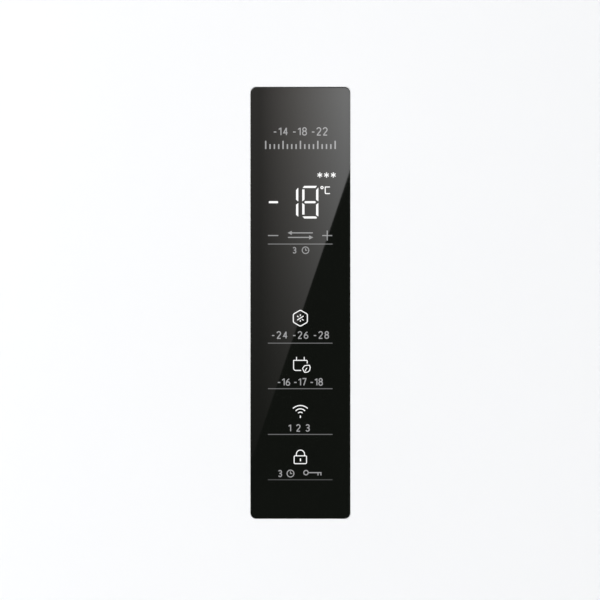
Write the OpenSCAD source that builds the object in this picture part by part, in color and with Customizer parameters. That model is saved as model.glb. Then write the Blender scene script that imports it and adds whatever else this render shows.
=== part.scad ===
// Upright no-frost freezer with a glass touch panel set into its door.
// The front faces -Y, the floor is z = 0, and the origin is under the middle of the closed freezer.
// All sizes are in millimetres.

/* [Overall] */
// Width across the side panels
overall_w = 595; // [570:5:640]
// Height from the floor to the top of the hinge cover
overall_h = 1900; // [1800:10:2000]
// Depth from the panel's glass to the rear cover
overall_d = 660; // [650:5:700]
// Height of the cabinet's underside above the floor
underside_z = 26; // [24:1:30]

/* [Cabinet walls] */
// Thickness of the painted sheet steel
sheet_t = 0.8; // [0.6:0.1:1.2]
// Thickness of the plastic liners
liner_t = 1.5; // [1.2:0.1:2]
// Foam in each side wall
side_foam_t = 59; // [55:1:62]
// Foam in the back wall
back_foam_t = 60; // [52:1:62]
// Foam above the cavity
top_foam_t = 66; // [60:1:80]
// Foam under the cavity
floor_foam_t = 88; // [80:1:100]
// Width of the liner's lip round the cavity's mouth
liner_lip_w = 9; // [6:1:14]
// Radius of the cabinet's front edges
cabinet_edge_r = 4; // [2:0.5:8]

/* [Compressor bay] */
// Height of the bay
bay_h = 226; // [216:1:240]
// Depth of the bay, from the back panel forward
bay_d = 236; // [225:1:240]
// Foam over and in front of the bay
bay_foam_t = 50; // [42:1:56]
// Diameter of the compressor's shell
compressor_d = 150; // [130:1:155]
// Height of the compressor's shell
compressor_h = 150; // [130:1:160]
// Diameter of the condenser fan
bay_fan_d = 120; // [100:1:130]

/* [Door] */
// Thickness of the door without its seal
door_t = 62; // [60:1:68]
// Gap between the door and the cabinet, which the seal fills
seal_gap = 10; // [8:0.5:12]
// Height of the door's bottom edge above the floor
door_z = 75; // [72:1:82]
// Radius of the door's upright front edges
door_edge_r = 9; // [4:1:14]
// Height that the liner's ridge stands into the cavity's mouth, from the door's back
ridge_h = 18; // [14:1:20]
// Width of the seal
seal_w = 20; // [16:1:21]
// Length of the recessed grip in the door's edge
grip_l = 320; // [240:10:400]
// Depth of the recessed grip
grip_depth = 22; // [18:1:26]
// Height of the grip's middle
grip_z = 1060; // [950:10:1150]

/* [Touch panel] */
// Width of the glass
panel_w = 45; // [42:1:60]
// Height of the glass
panel_h = 195; // [190:1:230]
// Thickness of the glass
glass_t = 3; // [2:0.2:4]
// Radius of the glass's corners
panel_corner_r = 2.5; // [1:0.5:5]
// Height that the glass stands proud of the door
glass_proud = 0.6; // [0.2:0.1:1.2]
// Clearance round the glass
glass_gap = 0.3; // [0.2:0.05:0.5]
// Height of the panel's middle above the floor
panel_z = 1420; // [1350:10:1480]
// Height of a display digit
digit_h = 15; // [12:0.5:18]
// Width of a display digit
digit_w = 7.7; // [6:0.1:9]
// Width of a display segment
segment_w = 1.35; // [1:0.05:1.8]

/* [Shelves and drawers] */
// Number of equal zones above the compressor bay
zone_count = 7; // [5:1:8]
// Thickness of the glass shelves
shelf_t = 4; // [3:0.5:5]
// Wall of the drawers
drawer_wall = 2.5; // [2:0.1:3.5]
// Clearance beside each drawer
drawer_side_gap = 10; // [9.5:0.5:14]
// Radius of the drawers' upright corners
drawer_corner_r = 32; // [28:1:40]
// Distance from the cabinet's front to the drawers' front
drawer_setback = 26; // [24:1:30]

/* [Hinges, feet and rollers] */
// Diameter of the hinge pins
hinge_pin_d = 10; // [8:0.5:11]
// Thickness of the hinge plates
hinge_plate_t = 5; // [4:0.5:6]
// Height of the hinge cover
hinge_cover_h = 14; // [12:1:18]
// Diameter of the foot pads
foot_pad_d = 40; // [32:1:46]
// Diameter of the foot studs
foot_stud_d = 10; // [8:0.5:12]
// Radius of the rear rollers
roller_r = 16; // [14:1:18]
// Width of the rear rollers
roller_w = 20; // [16:1:24]
// Diameter of the roller axles
axle_d = 6; // [5:0.5:8]
// Bore for the mains lead
gland_bore_d = 7.6; // [6:0.1:9]

/* [Hidden] */

$fn = 48;
eps = 0.5;            // how far a cut runs past the face that it opens
running = 0.08;       // radial clearance of a turning fit
contact_gap = 0.3;    // clearance between soft or separate bodies that nearly touch
half_w = overall_w / 2;

// Planes from front to back
glass_y = -overall_d / 2;
front_y = glass_y + glass_proud;
door_back_y = front_y + door_t;
cab_y = door_back_y + seal_gap;
rear_bulge = 10;      // how far the rear cover stands out behind the back panel
back_y = overall_d / 2 - rear_bulge;
liner_back_y = back_y - sheet_t - back_foam_t;
cavity_back_y = liner_back_y - liner_t;
duct_depth = 66;      // space for the evaporator behind its cover
duct_y = cavity_back_y - duct_depth;
bay_y = back_y - bay_d;
step_y = bay_y - bay_foam_t;      // the liner's outer face in front of the bay
foam_front_y = cab_y + liner_t;

// Levels from the floor up
top_z = overall_h - hinge_cover_h;
base_t = 1.2;
floor_z = underside_z + base_t + floor_foam_t + liner_t;
ceiling_z = top_z - sheet_t - top_foam_t - liner_t;
bay_top_z = underside_z + bay_h;
step_z = bay_top_z + bay_foam_t;  // the liner's outer face over the bay
step_top_z = step_z + liner_t;
shelf_clear = 3;      // space between the liner's step and the lowest shelf
shelf0_z = step_top_z + shelf_clear;
zone_pitch = (ceiling_z - shelf0_z) / zone_count;
door_top_gap = 4;     // gap between the door and the hinge plates
door_top_z = top_z - door_top_gap;

cavity_w = overall_w - 2 * (sheet_t + side_foam_t + liner_t);
mouth_half = cavity_w / 2;
steel_flange_w = half_w - mouth_half - liner_lip_w;
inner_half = half_w - sheet_t;    // inside of the side panels
rear_flange_w = 14;

// Hinge axis
hinge_in = 20.5;      // from the door's edge to the axis
hinge_set = 33;       // from the door's front face to the axis
hinge_x = half_w - hinge_in;
hinge_y = front_y + hinge_set;

hinge_pin_l = 20;
bush_wall = 3.5;
bush_d = hinge_pin_d + 2 * bush_wall;
bush_l = 24;
bush_flange_w = 3.5;
bush_flange_t = door_top_gap - contact_gap;
plate_nose_r = 14;
hinge_leaf_l = 70;    // bottom hinge's leaf, from the axis towards the middle
hinge_leaf_h = 22;    // how far that leaf hangs below its plate
bottom_plate_z = door_z - door_top_gap - hinge_plate_t;

function shelf_z(i) = shelf0_z + i * zone_pitch;

// Shapes in a plane and ways to extrude them

module rounded_rect(w, h, r) {
    square([w - 2 * r, h], center = true);
    square([w, h - 2 * r], center = true);
    for (x = [-1, 1], y = [-1, 1])
        translate([x * (w / 2 - r), y * (h / 2 - r)]) circle(r);
}

// A plan or elevation drawn as (x, z), filling y0 to y1
module extrude_y(y0, y1) {
    translate([0, y1, 0]) rotate([90, 0, 0]) linear_extrude(y1 - y0) children();
}

// A side view drawn as (y, z), filling x0 to x1
module extrude_x(x0, x1) {
    translate([x0, 0, 0]) rotate([90, 0, 90]) linear_extrude(x1 - x0) children();
}

module box(x0, x1, y0, y1, z0, z1) {
    translate([x0, y0, z0]) cube([x1 - x0, y1 - y0, z1 - z0]);
}

module rod_x(x0, x1, y, z, d) {
    translate([x0, y, z]) rotate([0, 90, 0]) cylinder(d = d, h = x1 - x0);
}

module rod_y(x, y0, y1, z, d) {
    translate([x, y0, z]) rotate([-90, 0, 0]) cylinder(d = d, h = y1 - y0);
}

module both_sides() {
    for (s = [-1, 1]) scale_x(s) children();
}

module scale_x(s) {
    if (s > 0) children();
    else mirror([1, 0, 0]) children();
}

// Cabinet

// Plan of one side panel: the wide side, a front flange and a narrow rear flange
module side_panel_plan() {
    r = cabinet_edge_r;
    depth = back_y - cab_y;
    translate([half_w - sheet_t, cab_y + r]) square([sheet_t, depth - r]);
    translate([half_w - steel_flange_w, cab_y]) square([steel_flange_w - r, sheet_t]);
    translate([half_w - rear_flange_w, back_y - sheet_t]) square([rear_flange_w, sheet_t]);
    translate([half_w - r, cab_y + r]) intersection() {
        difference() {
            circle(r);
            circle(r - sheet_t);
        }
        translate([0, -r]) square(r);
    }
}

module side_panel(s) {
    color("whitesmoke") difference() {
        scale_x(s) translate([0, 0, underside_z]) linear_extrude(top_z - underside_z) side_panel_plan();
        screw_bores();
    }
}

// Plan of the space inside the side panels from y0 to y1, round where their front edges are
module cabinet_plan(y0, y1) {
    r = cabinet_edge_r;
    intersection() {
        union() {
            translate([-inner_half, cab_y + r]) square([2 * inner_half, back_y - cab_y]);
            translate([-half_w + r, cab_y + sheet_t]) square([overall_w - 2 * r, back_y - cab_y]);
            for (s = [-1, 1]) translate([s * (half_w - r), cab_y + r]) circle(r - sheet_t);
        }
        translate([-half_w, y0]) square([overall_w, y1 - y0]);
    }
}

module top_panel() {
    lip_h = 12;
    color("whitesmoke") difference() {
        union() {
            translate([0, 0, top_z - sheet_t]) linear_extrude(sheet_t)
                cabinet_plan(cab_y + sheet_t, back_y - sheet_t);
            box(-half_w + steel_flange_w, half_w - steel_flange_w, cab_y + sheet_t, foam_front_y,
                top_z - lip_h, top_z - sheet_t / 2);
        }
        screw_bores();
    }
}

module back_panel() {
    rib_w = 60;
    rib_h = 2;
    rib_pitch = 164;
    rib_rise = 90;        // from the panel's bottom to the ribs
    rib_drop = 50;        // from the control box down to the ribs
    bottom_z = bay_top_z + 1;
    color("lightgray") difference() {
        union() {
            box(-half_w + rear_flange_w, half_w - rear_flange_w, back_y - sheet_t, back_y, bottom_z, top_z);
            for (i = [-1:1])
                box(i * rib_pitch - rib_w / 2, i * rib_pitch + rib_w / 2,
                    back_y - sheet_t / 2, back_y + rib_h,
                    bottom_z + rib_rise, control_z - control_h / 2 - rib_drop);
        }
        box(-control_w / 2, control_w / 2, back_y - sheet_t - eps, back_y + eps,
            control_z - control_h / 2, control_z + control_h / 2);
    }
}

module front_crossrails() {
    x = half_w - steel_flange_w;
    color("whitesmoke") difference() {
        union() {
            box(-x, x, cab_y, cab_y + sheet_t, ceiling_z + liner_lip_w, top_z);
            box(-x, x, cab_y, cab_y + sheet_t, underside_z, floor_z - liner_lip_w);
        }
        screw_bores();
    }
}

// Side view of the cavity, with its step over the compressor bay; grow moves each wall outward
module cavity_profile(grow) {
    front = cab_y - eps;
    polygon([[front, floor_z - grow], [step_y - liner_t + grow, floor_z - grow],
             [step_y - liner_t + grow, step_top_z - grow], [cavity_back_y + grow, step_top_z - grow],
             [cavity_back_y + grow, ceiling_z + grow], [front, ceiling_z + grow]]);
}

foot_in = 45;         // from the cabinet's side to a foot's axis
foot_back = 42;       // from the cabinet's front to a foot's axis
foot_x = half_w - foot_in;
foot_y = cab_y + foot_back;
boss_wall = 6;
boss_d = foot_stud_d + 2 * boss_wall;
boss_h = 40;

module cabinet_foam() {
    color("khaki") difference() {
        translate([0, 0, underside_z + base_t]) linear_extrude(top_z - sheet_t - underside_z - base_t)
            cabinet_plan(foam_front_y, back_y - sheet_t);
        extrude_x(-mouth_half - liner_t, mouth_half + liner_t) cavity_profile(liner_t);
        box(-half_w, half_w, bay_y - base_t, back_y + eps, underside_z, bay_top_z + base_t);
        pipe_holes();
        translate([drain_x, drain_y, bay_top_z]) cylinder(d = drain_d, h = bay_foam_t + eps);
        screw_bores();
        box(-control_w / 2, control_w / 2, back_y - control_d, back_y + eps,
            control_z - control_h / 2, control_z + control_h / 2);
        for (x = [-foot_x, foot_x])
            translate([x, foot_y, underside_z]) cylinder(d = boss_d, h = base_t + boss_h);
    }
}

ledge_w = 9;
ledge_h = 8;
ledge_back = 20;      // from the cabinet's front to the ledges
ledge_y = cab_y + ledge_back;
spout_l = 8;          // how far the drain's spout stands into the bay

// A shelf's ledge on both side walls
module ledges(y0, y1, z0, z1) {
    both_sides() box(mouth_half - ledge_w, mouth_half + liner_t / 2, y0, y1, z0, z1);
}

module inner_liner() {
    color("white") {
        difference() {
            union() {
                extrude_x(-mouth_half - liner_t, mouth_half + liner_t) difference() {
                    cavity_profile(liner_t);
                    translate([cab_y - 2 * eps, floor_z - 2 * liner_t])
                        square([2 * eps, ceiling_z - floor_z + 4 * liner_t]);
                }
                extrude_y(cab_y, cab_y + liner_t)
                    translate([-mouth_half - liner_lip_w, floor_z - liner_lip_w])
                    square([cavity_w + 2 * liner_lip_w, ceiling_z - floor_z + 2 * liner_lip_w]);
            }
            extrude_x(-mouth_half, mouth_half) cavity_profile(0);
            pipe_holes();
            translate([drain_x, drain_y, step_z - eps])
                cylinder(d = drain_d - 2 * liner_t, h = liner_t + 2 * eps);
        }
        translate([drain_x, drain_y, bay_top_z - spout_l]) difference() {
            cylinder(d = drain_d, h = bay_foam_t + spout_l + eps);
            translate([0, 0, -eps]) cylinder(d = drain_d - 2 * liner_t, h = bay_foam_t + spout_l + 3 * eps);
        }
        ledges(ledge_y, step_y, shelf0_z - ledge_h, shelf0_z);
        ledges(step_y - eps, duct_y, step_z + liner_t / 2, shelf0_z);
        for (i = [1:zone_count - 1]) ledges(ledge_y, duct_y, shelf_z(i) - ledge_h, shelf_z(i));
    }
}

// Frame under the cabinet, compressor bay floor, feet and rollers

// One bent sheet: the floor under the foam, the bay's front wall and the bay's roof
module base_frame() {
    color("silver") difference() {
        union() {
            translate([0, 0, underside_z]) linear_extrude(base_t) cabinet_plan(foam_front_y, bay_y);
            box(-inner_half, inner_half, bay_y - base_t, bay_y, underside_z, bay_top_z + base_t);
            box(-inner_half, inner_half, bay_y - base_t, back_y - sheet_t, bay_top_z, bay_top_z + base_t);
            for (x = [-foot_x, foot_x])
                translate([x, foot_y, underside_z]) cylinder(d = boss_d, h = base_t + boss_h);
        }
        for (x = [-foot_x, foot_x])
            translate([x, foot_y, underside_z - eps])
                cylinder(d = foot_stud_d + 2 * running, h = base_t + boss_h + 2 * eps);
        pipe_holes();
        translate([drain_x, drain_y, bay_top_z - eps]) cylinder(d = drain_d, h = base_t + 2 * eps);
    }
}

module foot(x) {
    rim_h = 3;
    pad_h = 10;
    nut_h = 5;
    nut_d = foot_stud_d * 2.1;
    stud_end = 6;         // from the stud's end up to the boss's top
    color("dimgray") translate([x, foot_y, 0]) {
        cylinder(d = foot_pad_d, h = rim_h);
        cylinder(d1 = foot_pad_d - 1, d2 = nut_d + 2, h = pad_h, $fn = 48);
        cylinder(d = nut_d, h = pad_h + nut_h, $fn = 6);
        cylinder(d = foot_stud_d, h = underside_z + base_t + boss_h - stud_end);
    }
}

kick_t = 12;
kick_gap = 3;

module kick_plate() {
    wall = 2.5;
    slot_w = 60;
    slot_pitch = 72;
    slot_h = 4;
    slot_rise = 14;       // from the plate's bottom to its lower slots
    bottom_z = 14;
    hinge_clear = 2;
    notch_d = 8;
    side = half_w - kick_gap;
    y0 = cab_y - kick_t;
    z1 = bottom_plate_z - hinge_clear;
    color("gainsboro") difference() {
        box(-side, side, y0, cab_y, bottom_z, z1);
        box(-side + wall, side - wall, y0 + wall, cab_y + eps, bottom_z - eps, z1 - wall);
        for (i = [-3:3], z = [slot_rise, slot_rise + 2.5 * slot_h])
            box(i * slot_pitch - slot_w / 2, i * slot_pitch + slot_w / 2, y0 - eps, y0 + wall + eps,
                bottom_z + z, bottom_z + z + slot_h);
        box(hinge_x - hinge_leaf_l - hinge_clear, hinge_x + plate_nose_r + 1, cab_y - notch_d, cab_y + eps,
            z1 - wall - eps, z1 + eps);
    }
}

plate_t = 2;
bay_floor_z = underside_z + plate_t;
roller_in = 42;       // from the cabinet's side to a roller's middle
roller_back = 38;     // from the back panel to a roller's axis
roller_x = half_w - roller_in;
roller_y = back_y - roller_back;
ear_t = 2;
ear_gap = 0.5;        // side clearance of a roller between its ears
mount_pad_h = 2;      // raised seat under each of the compressor's grommets

// The bay's floor, with two ears and a riveted axle for each roller
module compressor_plate() {
    edge_h = 10;
    ear_half = 12;
    ear_drop = 7;         // from a roller's axis down to the ear's end
    rivet_l = 1;
    mount_pad_d = 18;
    slot_gap = 2;         // between a roller and its slot
    ear_x = roller_w / 2 + ear_gap;
    color("silver") difference() {
        union() {
            box(-inner_half, inner_half, bay_y, back_y - sheet_t, underside_z, bay_floor_z);
            for (x = [-roller_x, roller_x]) {
                for (s = [-1, 1])
                    box(x + s * (ear_x + ear_t / 2) - ear_t / 2, x + s * (ear_x + ear_t / 2) + ear_t / 2,
                        roller_y - ear_half, roller_y + ear_half, roller_r - ear_drop, bay_floor_z);
                rod_x(x - ear_x - ear_t - rivet_l, x + ear_x + ear_t + rivet_l, roller_y, roller_r, axle_d);
            }
            box(-inner_half, inner_half, bay_y, bay_y + plate_t, underside_z, bay_floor_z + edge_h);
            for (p = compressor_feet) translate([p[0], p[1], underside_z])
                cylinder(d = mount_pad_d, h = plate_t + mount_pad_h);
        }
        for (x = [-roller_x, roller_x])
            box(x - ear_x, x + ear_x, roller_y - roller_r - slot_gap, roller_y + roller_r + slot_gap,
                roller_r + axle_d, bay_floor_z + eps);
        for (p = compressor_feet) translate([p[0], p[1], underside_z - eps])
            cylinder(d = compressor_bolt_d, h = plate_t + mount_pad_h + 2 * eps);
    }
}

module roller(x) {
    shoulder = 2;
    color("dimgray") translate([x, roller_y, roller_r]) rotate([0, 90, 0]) difference() {
        union() {
            cylinder(r = roller_r, h = roller_w - 2 * shoulder, center = true);
            cylinder(r = roller_r - shoulder, h = roller_w, center = true);
        }
        cylinder(d = axle_d + 2 * running, h = roller_w + 2 * eps, center = true);
    }
}

// Compressor bay

compressor_in = 122;  // from the cabinet's side to the compressor's axis
compressor_set = 12;  // how far that axis lies in front of the bay's middle
compressor_x = half_w - compressor_in;
compressor_y = bay_y + bay_d / 2 - compressor_set;
grommet_h = 16;
grommet_neck_d = 10.6;
grommet_top = 1;      // how far a grommet's neck stands above the compressor's foot plate
compressor_foot_t = 3;
compressor_bolt_d = 6;
compressor_foot_half = [78, 52];
compressor_feet = [for (sx = [-1, 1], sy = [-1, 1])
    [compressor_x + sx * compressor_foot_half[0], compressor_y + sy * compressor_foot_half[1]]];
compressor_foot_z = bay_floor_z + mount_pad_h + grommet_h;
terminal_reach = 4;   // how far the terminals stand out of the shell
stub_l = 16;          // length of the compressor's pipe stubs
stub_drop = 42;       // from the shell's top to the stubs
pipe_angles = [-40, 140];

module compressor() {
    dome_r = 34;
    base_r = 12;
    seam_drop = 66;       // from the shell's top to its welded seam
    seam_h = 5;
    seam_reach = 3;
    stub_d = 9;
    stub_root = 14;       // part of a stub inside the shell
    terminal_w = 28;
    terminal_z = 44;
    foot_margin = 12;
    r = compressor_d / 2;
    color("#202226") {
        translate([compressor_x, compressor_y, compressor_foot_z]) {
            rotate_extrude($fn = 96) {
                square([r - dome_r, compressor_h]);
                translate([0, base_r]) square([r, compressor_h - dome_r - base_r]);
                square([r - base_r, base_r + eps]);
                translate([r - base_r, base_r]) circle(base_r);
                translate([r - dome_r, compressor_h - dome_r]) intersection() {
                    circle(dome_r);
                    square(dome_r);
                }
                translate([0, compressor_h - seam_drop]) square([r + seam_reach, seam_h]);
            }
            for (a = pipe_angles) rotate([0, 0, a])
                translate([r - stub_root, 0, compressor_h - stub_drop]) rotate([0, 90, 0])
                    cylinder(d = stub_d, h = stub_root + stub_l);
            box(-r - terminal_reach, -r + terminal_reach, -terminal_w / 2, terminal_w / 2,
                terminal_z, terminal_z + terminal_w);
        }
        difference() {
            translate([compressor_x, compressor_y, compressor_foot_z])
                linear_extrude(compressor_foot_t)
                rounded_rect(2 * (compressor_foot_half[0] + foot_margin),
                             2 * (compressor_foot_half[1] + foot_margin), foot_margin);
            for (p = compressor_feet) translate([p[0], p[1], compressor_foot_z - eps])
                cylinder(d = grommet_neck_d + 0.4, h = compressor_foot_t + 2 * eps);
        }
    }
}

module compressor_grommets() {
    flange_d = 22;
    bolt_gap = 0.3;
    neck_h = grommet_h + compressor_foot_t + grommet_top;
    color("black") for (p = compressor_feet) translate([p[0], p[1], bay_floor_z + mount_pad_h]) difference() {
        union() {
            cylinder(d = flange_d, h = grommet_h);
            cylinder(d = grommet_neck_d, h = neck_h);
        }
        translate([0, 0, -eps]) cylinder(d = compressor_bolt_d + 2 * bolt_gap, h = neck_h + 2 * eps);
    }
}

module compressor_bolts() {
    head_h = 3;
    washer_d = 16;
    washer_t = 1.5;
    thread_end = 5;       // how far the bolt stands above its washer's seat
    seat_z = compressor_foot_z + compressor_foot_t + grommet_top;
    color("silver") for (p = compressor_feet) translate([p[0], p[1], 0]) {
        translate([0, 0, underside_z - head_h]) cylinder(d = compressor_bolt_d * 2, h = head_h, $fn = 6);
        translate([0, 0, underside_z - head_h])
            cylinder(d = compressor_bolt_d - 0.1, h = seat_z + thread_end + head_h - underside_z);
        translate([0, 0, seat_z]) cylinder(d = washer_d, h = washer_t);
    }
}

module relay_box() {
    w = 46;
    depth = 30;
    h = 50;
    rise = 33;            // from the compressor's feet to the box
    capacitor_d = 20;
    capacitor_l = 16;
    x1 = compressor_x - compressor_d / 2 - terminal_reach;
    z0 = compressor_foot_z + rise;
    color("black") {
        box(x1 - depth, x1, compressor_y - w / 2, compressor_y + w / 2, z0, z0 + h);
        rod_x(x1 - (depth + capacitor_l) / 2, x1 - (depth - capacitor_l) / 2, compressor_y,
              z0 + h + 2, capacitor_d);
    }
}

coil_in = 60;         // from the cabinet's side to the coil
coil_x0 = -half_w + coil_in;
coil_w = 150;
coil_tube_d = 5;
coil_pitch = 24;
coil_rows = 7;
coil_columns = 6;
coil_row_pitch = 22;
coil_rise = 26;       // from the bay's floor to the lowest row
coil_margin = 34;     // from the straight tubes' ends to the bay's front and back
function coil_row_z(k) = bay_floor_z + coil_rise + k * coil_row_pitch;
coil_front_y = bay_y + coil_margin;
coil_back_y = back_y - coil_margin;

// Straight tubes joined by half rings at their ends, in one flat serpentine at height z
module serpentine_row(z) {
    for (i = [0:coil_columns - 1])
        rod_y(coil_x0 + coil_w / 2 - (coil_columns - 1) * coil_pitch / 2 + i * coil_pitch,
              coil_front_y, coil_back_y, z, coil_tube_d);
    for (i = [0:coil_columns - 2]) {
        back = i % 2 == 0;
        translate([coil_x0 + coil_w / 2 - (coil_columns - 2) * coil_pitch / 2 + i * coil_pitch,
                   back ? coil_back_y : coil_front_y, z])
            rotate([0, 0, back ? 0 : 180]) rotate_extrude(angle = 180)
                translate([coil_pitch / 2, 0]) circle(d = coil_tube_d, $fn = 24);
    }
}

module condenser_coil() {
    bracket_t = 2;
    bracket_in = 6;       // from the straight tubes' ends to the brackets
    bracket_side = 4;
    end_x = (coil_columns - 1) * coil_pitch / 2;
    color("#2b2d30") {
        for (k = [0:coil_rows - 1]) serpentine_row(coil_row_z(k));
        for (k = [0:coil_rows - 2])
            translate([coil_x0 + coil_w / 2 + (k % 2 == 0 ? end_x : -end_x), coil_front_y,
                       coil_row_z(k) + coil_row_pitch / 2])
                rotate([0, 90, 0]) rotate([0, 0, 180]) rotate_extrude(angle = 180)
                    translate([coil_row_pitch / 2, 0]) circle(d = coil_tube_d, $fn = 24);
        for (y = [coil_front_y + bracket_in, coil_back_y - bracket_in - bracket_t])
            box(coil_x0 + bracket_side, coil_x0 + coil_w - bracket_side, y, y + bracket_t,
                bay_floor_z, coil_row_z(coil_rows));
    }
}

bay_fan_rim = 13;     // frame outside the fan's wheel
bay_fan_rise = 24;    // from the bay's floor to the wheel
coil_to_fan = 44;
bay_fan_x = coil_x0 + coil_w + coil_to_fan;
bay_fan_y = bay_y + bay_d / 2;
bay_fan_z = bay_floor_z + bay_fan_d / 2 + bay_fan_rise;
bay_fan_frame_t = 24;
bay_fan_shaft_d = 6;
tip_gap = 3;          // between a fan's blades and its frame

module condenser_fan_frame() {
    wall = 2.5;
    motor_d = 44;
    motor_l = 30;
    motor_gap = 6;        // between the frame and the motor
    arm_w = 8;
    arm_t = 3;
    post_d = 7;
    shaft_start = 4;      // how far the shaft reaches in front of the frame's middle
    half_t = bay_fan_frame_t / 2;
    half_side = bay_fan_d / 2 + bay_fan_rim;
    motor_x = half_t + motor_gap;
    arm_x = motor_x + 2;
    arm_root = 4;         // part of an arm inside the motor
    arm_l = bay_fan_d * 0.475;
    post = bay_fan_d * 0.42 + 2;
    color("#3a3c40") {
        difference() {
            box(bay_fan_x - half_t, bay_fan_x + half_t, bay_fan_y - half_side, bay_fan_y + half_side,
                bay_floor_z, bay_fan_z + half_side);
            rod_x(bay_fan_x - half_t - eps, bay_fan_x + half_t, bay_fan_y, bay_fan_z,
                  bay_fan_d + 2 * tip_gap);
            box(bay_fan_x - half_t + wall, bay_fan_x + half_t + eps,
                bay_fan_y - half_side + wall, bay_fan_y + half_side - wall,
                bay_floor_z + wall, bay_fan_z + half_side - wall);
        }
        translate([bay_fan_x, bay_fan_y, bay_fan_z]) rotate([0, 90, 0]) {
            translate([0, 0, motor_x]) cylinder(d = motor_d, h = motor_l);
            translate([0, 0, -shaft_start]) cylinder(d = bay_fan_shaft_d, h = motor_x + shaft_start + 1);
            for (a = [45:90:315]) rotate([0, 0, a])
                translate([motor_d / 2 - arm_root, -arm_w / 2, arm_x]) cube([arm_l, arm_w, arm_t]);
        }
        for (s = [-1, 1], t = [-1, 1])
            rod_x(bay_fan_x - half_t + 1, bay_fan_x + arm_x + arm_t, bay_fan_y + s * post,
                  bay_fan_z + t * post, post_d);
    }
}

// A hub and tilted blades turning about Z, with a bore for the motor's shaft
module fan_wheel(d, hub_d, depth, blades, shaft_d) {
    blade_t = 1.8;
    tilt = 38;
    root = 2;             // part of a blade inside the hub
    chord = hub_d * 0.84;
    difference() {
        union() {
            cylinder(d = hub_d, h = depth, center = true);
            intersection() {
                for (i = [0:blades - 1]) rotate([0, 0, i * 360 / blades])
                    translate([hub_d / 2 - root, 0, 0]) rotate([tilt, 0, 0])
                        translate([0, -chord / 2, -blade_t / 2]) cube([d / 2, chord, blade_t]);
                cylinder(d = d, h = depth, center = true);
            }
        }
        cylinder(d = shaft_d + 2 * running, h = depth + 2 * eps, center = true);
    }
}

module condenser_fan() {
    hub_d = 40;
    depth = 20;
    forward = 1;          // the wheel's middle, in front of the frame's
    color("#55585d") translate([bay_fan_x - forward, bay_fan_y, bay_fan_z]) rotate([0, 90, 0])
        fan_wheel(bay_fan_d, hub_d, depth, 5, bay_fan_shaft_d);
}

// Evaporator tubes, which the lines below end at
evap_side = 34;       // from the cavity's walls to the straight tubes' ends
evap_rise = 62;       // from the liner's step to the lowest tubes
evap_back = 32;       // from the cavity's back wall to the coil's middle
evap_half = mouth_half - evap_side;
evap_z0 = step_top_z + evap_rise;
evap_rows = 6;
evap_row_pitch = 40;
evap_col_pitch = 28;
evap_tube_d = 8;
evap_y = cavity_back_y - evap_back;
evap_top_z = evap_z0 + (evap_rows - 1) * evap_row_pitch;

line_d = 6.4;
capillary_d = 3;
drier_d = 19;
drier_l = 68;
drier_neck_d = 10;
drier_neck_l = 10;
drier_half = drier_l / 2 + drier_neck_l;
drier_x = compressor_x - 104;
drier_y = bay_y + 13;
drier_z = bay_floor_z + 120;
drain_x = compressor_x - 30;
drain_y = compressor_y + 36;
drain_d = 18;

// Straight lengths of pipe between points, with a brazed joint at each corner
module pipe(points, d) {
    for (i = [0:len(points) - 2]) {
        a = points[i];
        v = points[i + 1] - a;
        l = norm(v);
        translate(a) rotate([0, acos(v[2] / l), atan2(v[1], v[0])]) cylinder(d = d, h = l, $fn = 24);
    }
    for (i = [1:len(points) - 2]) translate(points[i]) sphere(d = d + 1.6, $fn = 24);
}

// A point at distance r from the compressor's axis, at the height of its stubs
function stub_point(a, r) = [compressor_x + r * cos(a), compressor_y + r * sin(a),
                             compressor_foot_z + compressor_h - stub_drop];
function at_z(p, z) = [p[0], p[1], z];

stub_r = compressor_d / 2 + stub_l;
suction_z = bay_top_z - 15;
capillary_z = bay_top_z - 5;
hot_line_z = bay_top_z - 47;
suction_up = [evap_half + 10, evap_y + evap_col_pitch / 2, suction_z];
capillary_up = [evap_half + 22, evap_y - evap_col_pitch / 2, capillary_z];

module refrigerant_lines() {
    bend_out = 9;         // from a stub's end to the line's first corner
    hot_y = bay_y + 20;
    out = stub_point(pipe_angles[1], stub_r + bend_out);
    back = stub_point(pipe_angles[0], stub_r + bend_out);
    last_x = coil_x0 + coil_w / 2 + (coil_columns - 1) * coil_pitch / 2;
    first_x = coil_x0 + coil_w / 2 - (coil_columns - 1) * coil_pitch / 2;
    top_row_z = coil_row_z(coil_rows - 1);
    color("peru") {
        pipe([stub_point(pipe_angles[1], stub_r), out, at_z(out, hot_line_z), [last_x, hot_y, hot_line_z],
              [last_x, hot_y, top_row_z], [last_x, coil_front_y, top_row_z]], line_d);
        pipe([[first_x, coil_front_y, coil_row_z(0)], [first_x, drier_y, coil_row_z(0)],
              [drier_x, drier_y, coil_row_z(0)], [drier_x, drier_y, drier_z - drier_half]], line_d);
        pipe([stub_point(pipe_angles[0], stub_r), back, at_z(back, suction_z), suction_up,
              at_z(suction_up, evap_z0), [evap_half, suction_up[1], evap_z0]], line_d);
        pipe([[drier_x, drier_y, drier_z + drier_half], [drier_x, drier_y, capillary_z], capillary_up,
              at_z(capillary_up, evap_z0), [evap_half, capillary_up[1], evap_z0]], capillary_d);
    }
}

module pipe_holes() {
    z0 = suction_z + 8;
    h = evap_z0 - suction_z - 20;
    translate(at_z(suction_up, z0)) cylinder(d = line_d, h = h, $fn = 24);
    translate(at_z(capillary_up, z0)) cylinder(d = capillary_d, h = h, $fn = 24);
}

module filter_drier() {
    clip_w = 8;
    clip_h = 14;
    color("peru") translate([drier_x, drier_y, drier_z]) {
        cylinder(d = drier_d, h = drier_l, center = true);
        cylinder(d = drier_neck_d, h = 2 * drier_half, center = true);
        translate([-clip_w / 2, bay_y - drier_y, -clip_h / 2]) cube([clip_w, drier_y - bay_y, clip_h]);
    }
}

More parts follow.
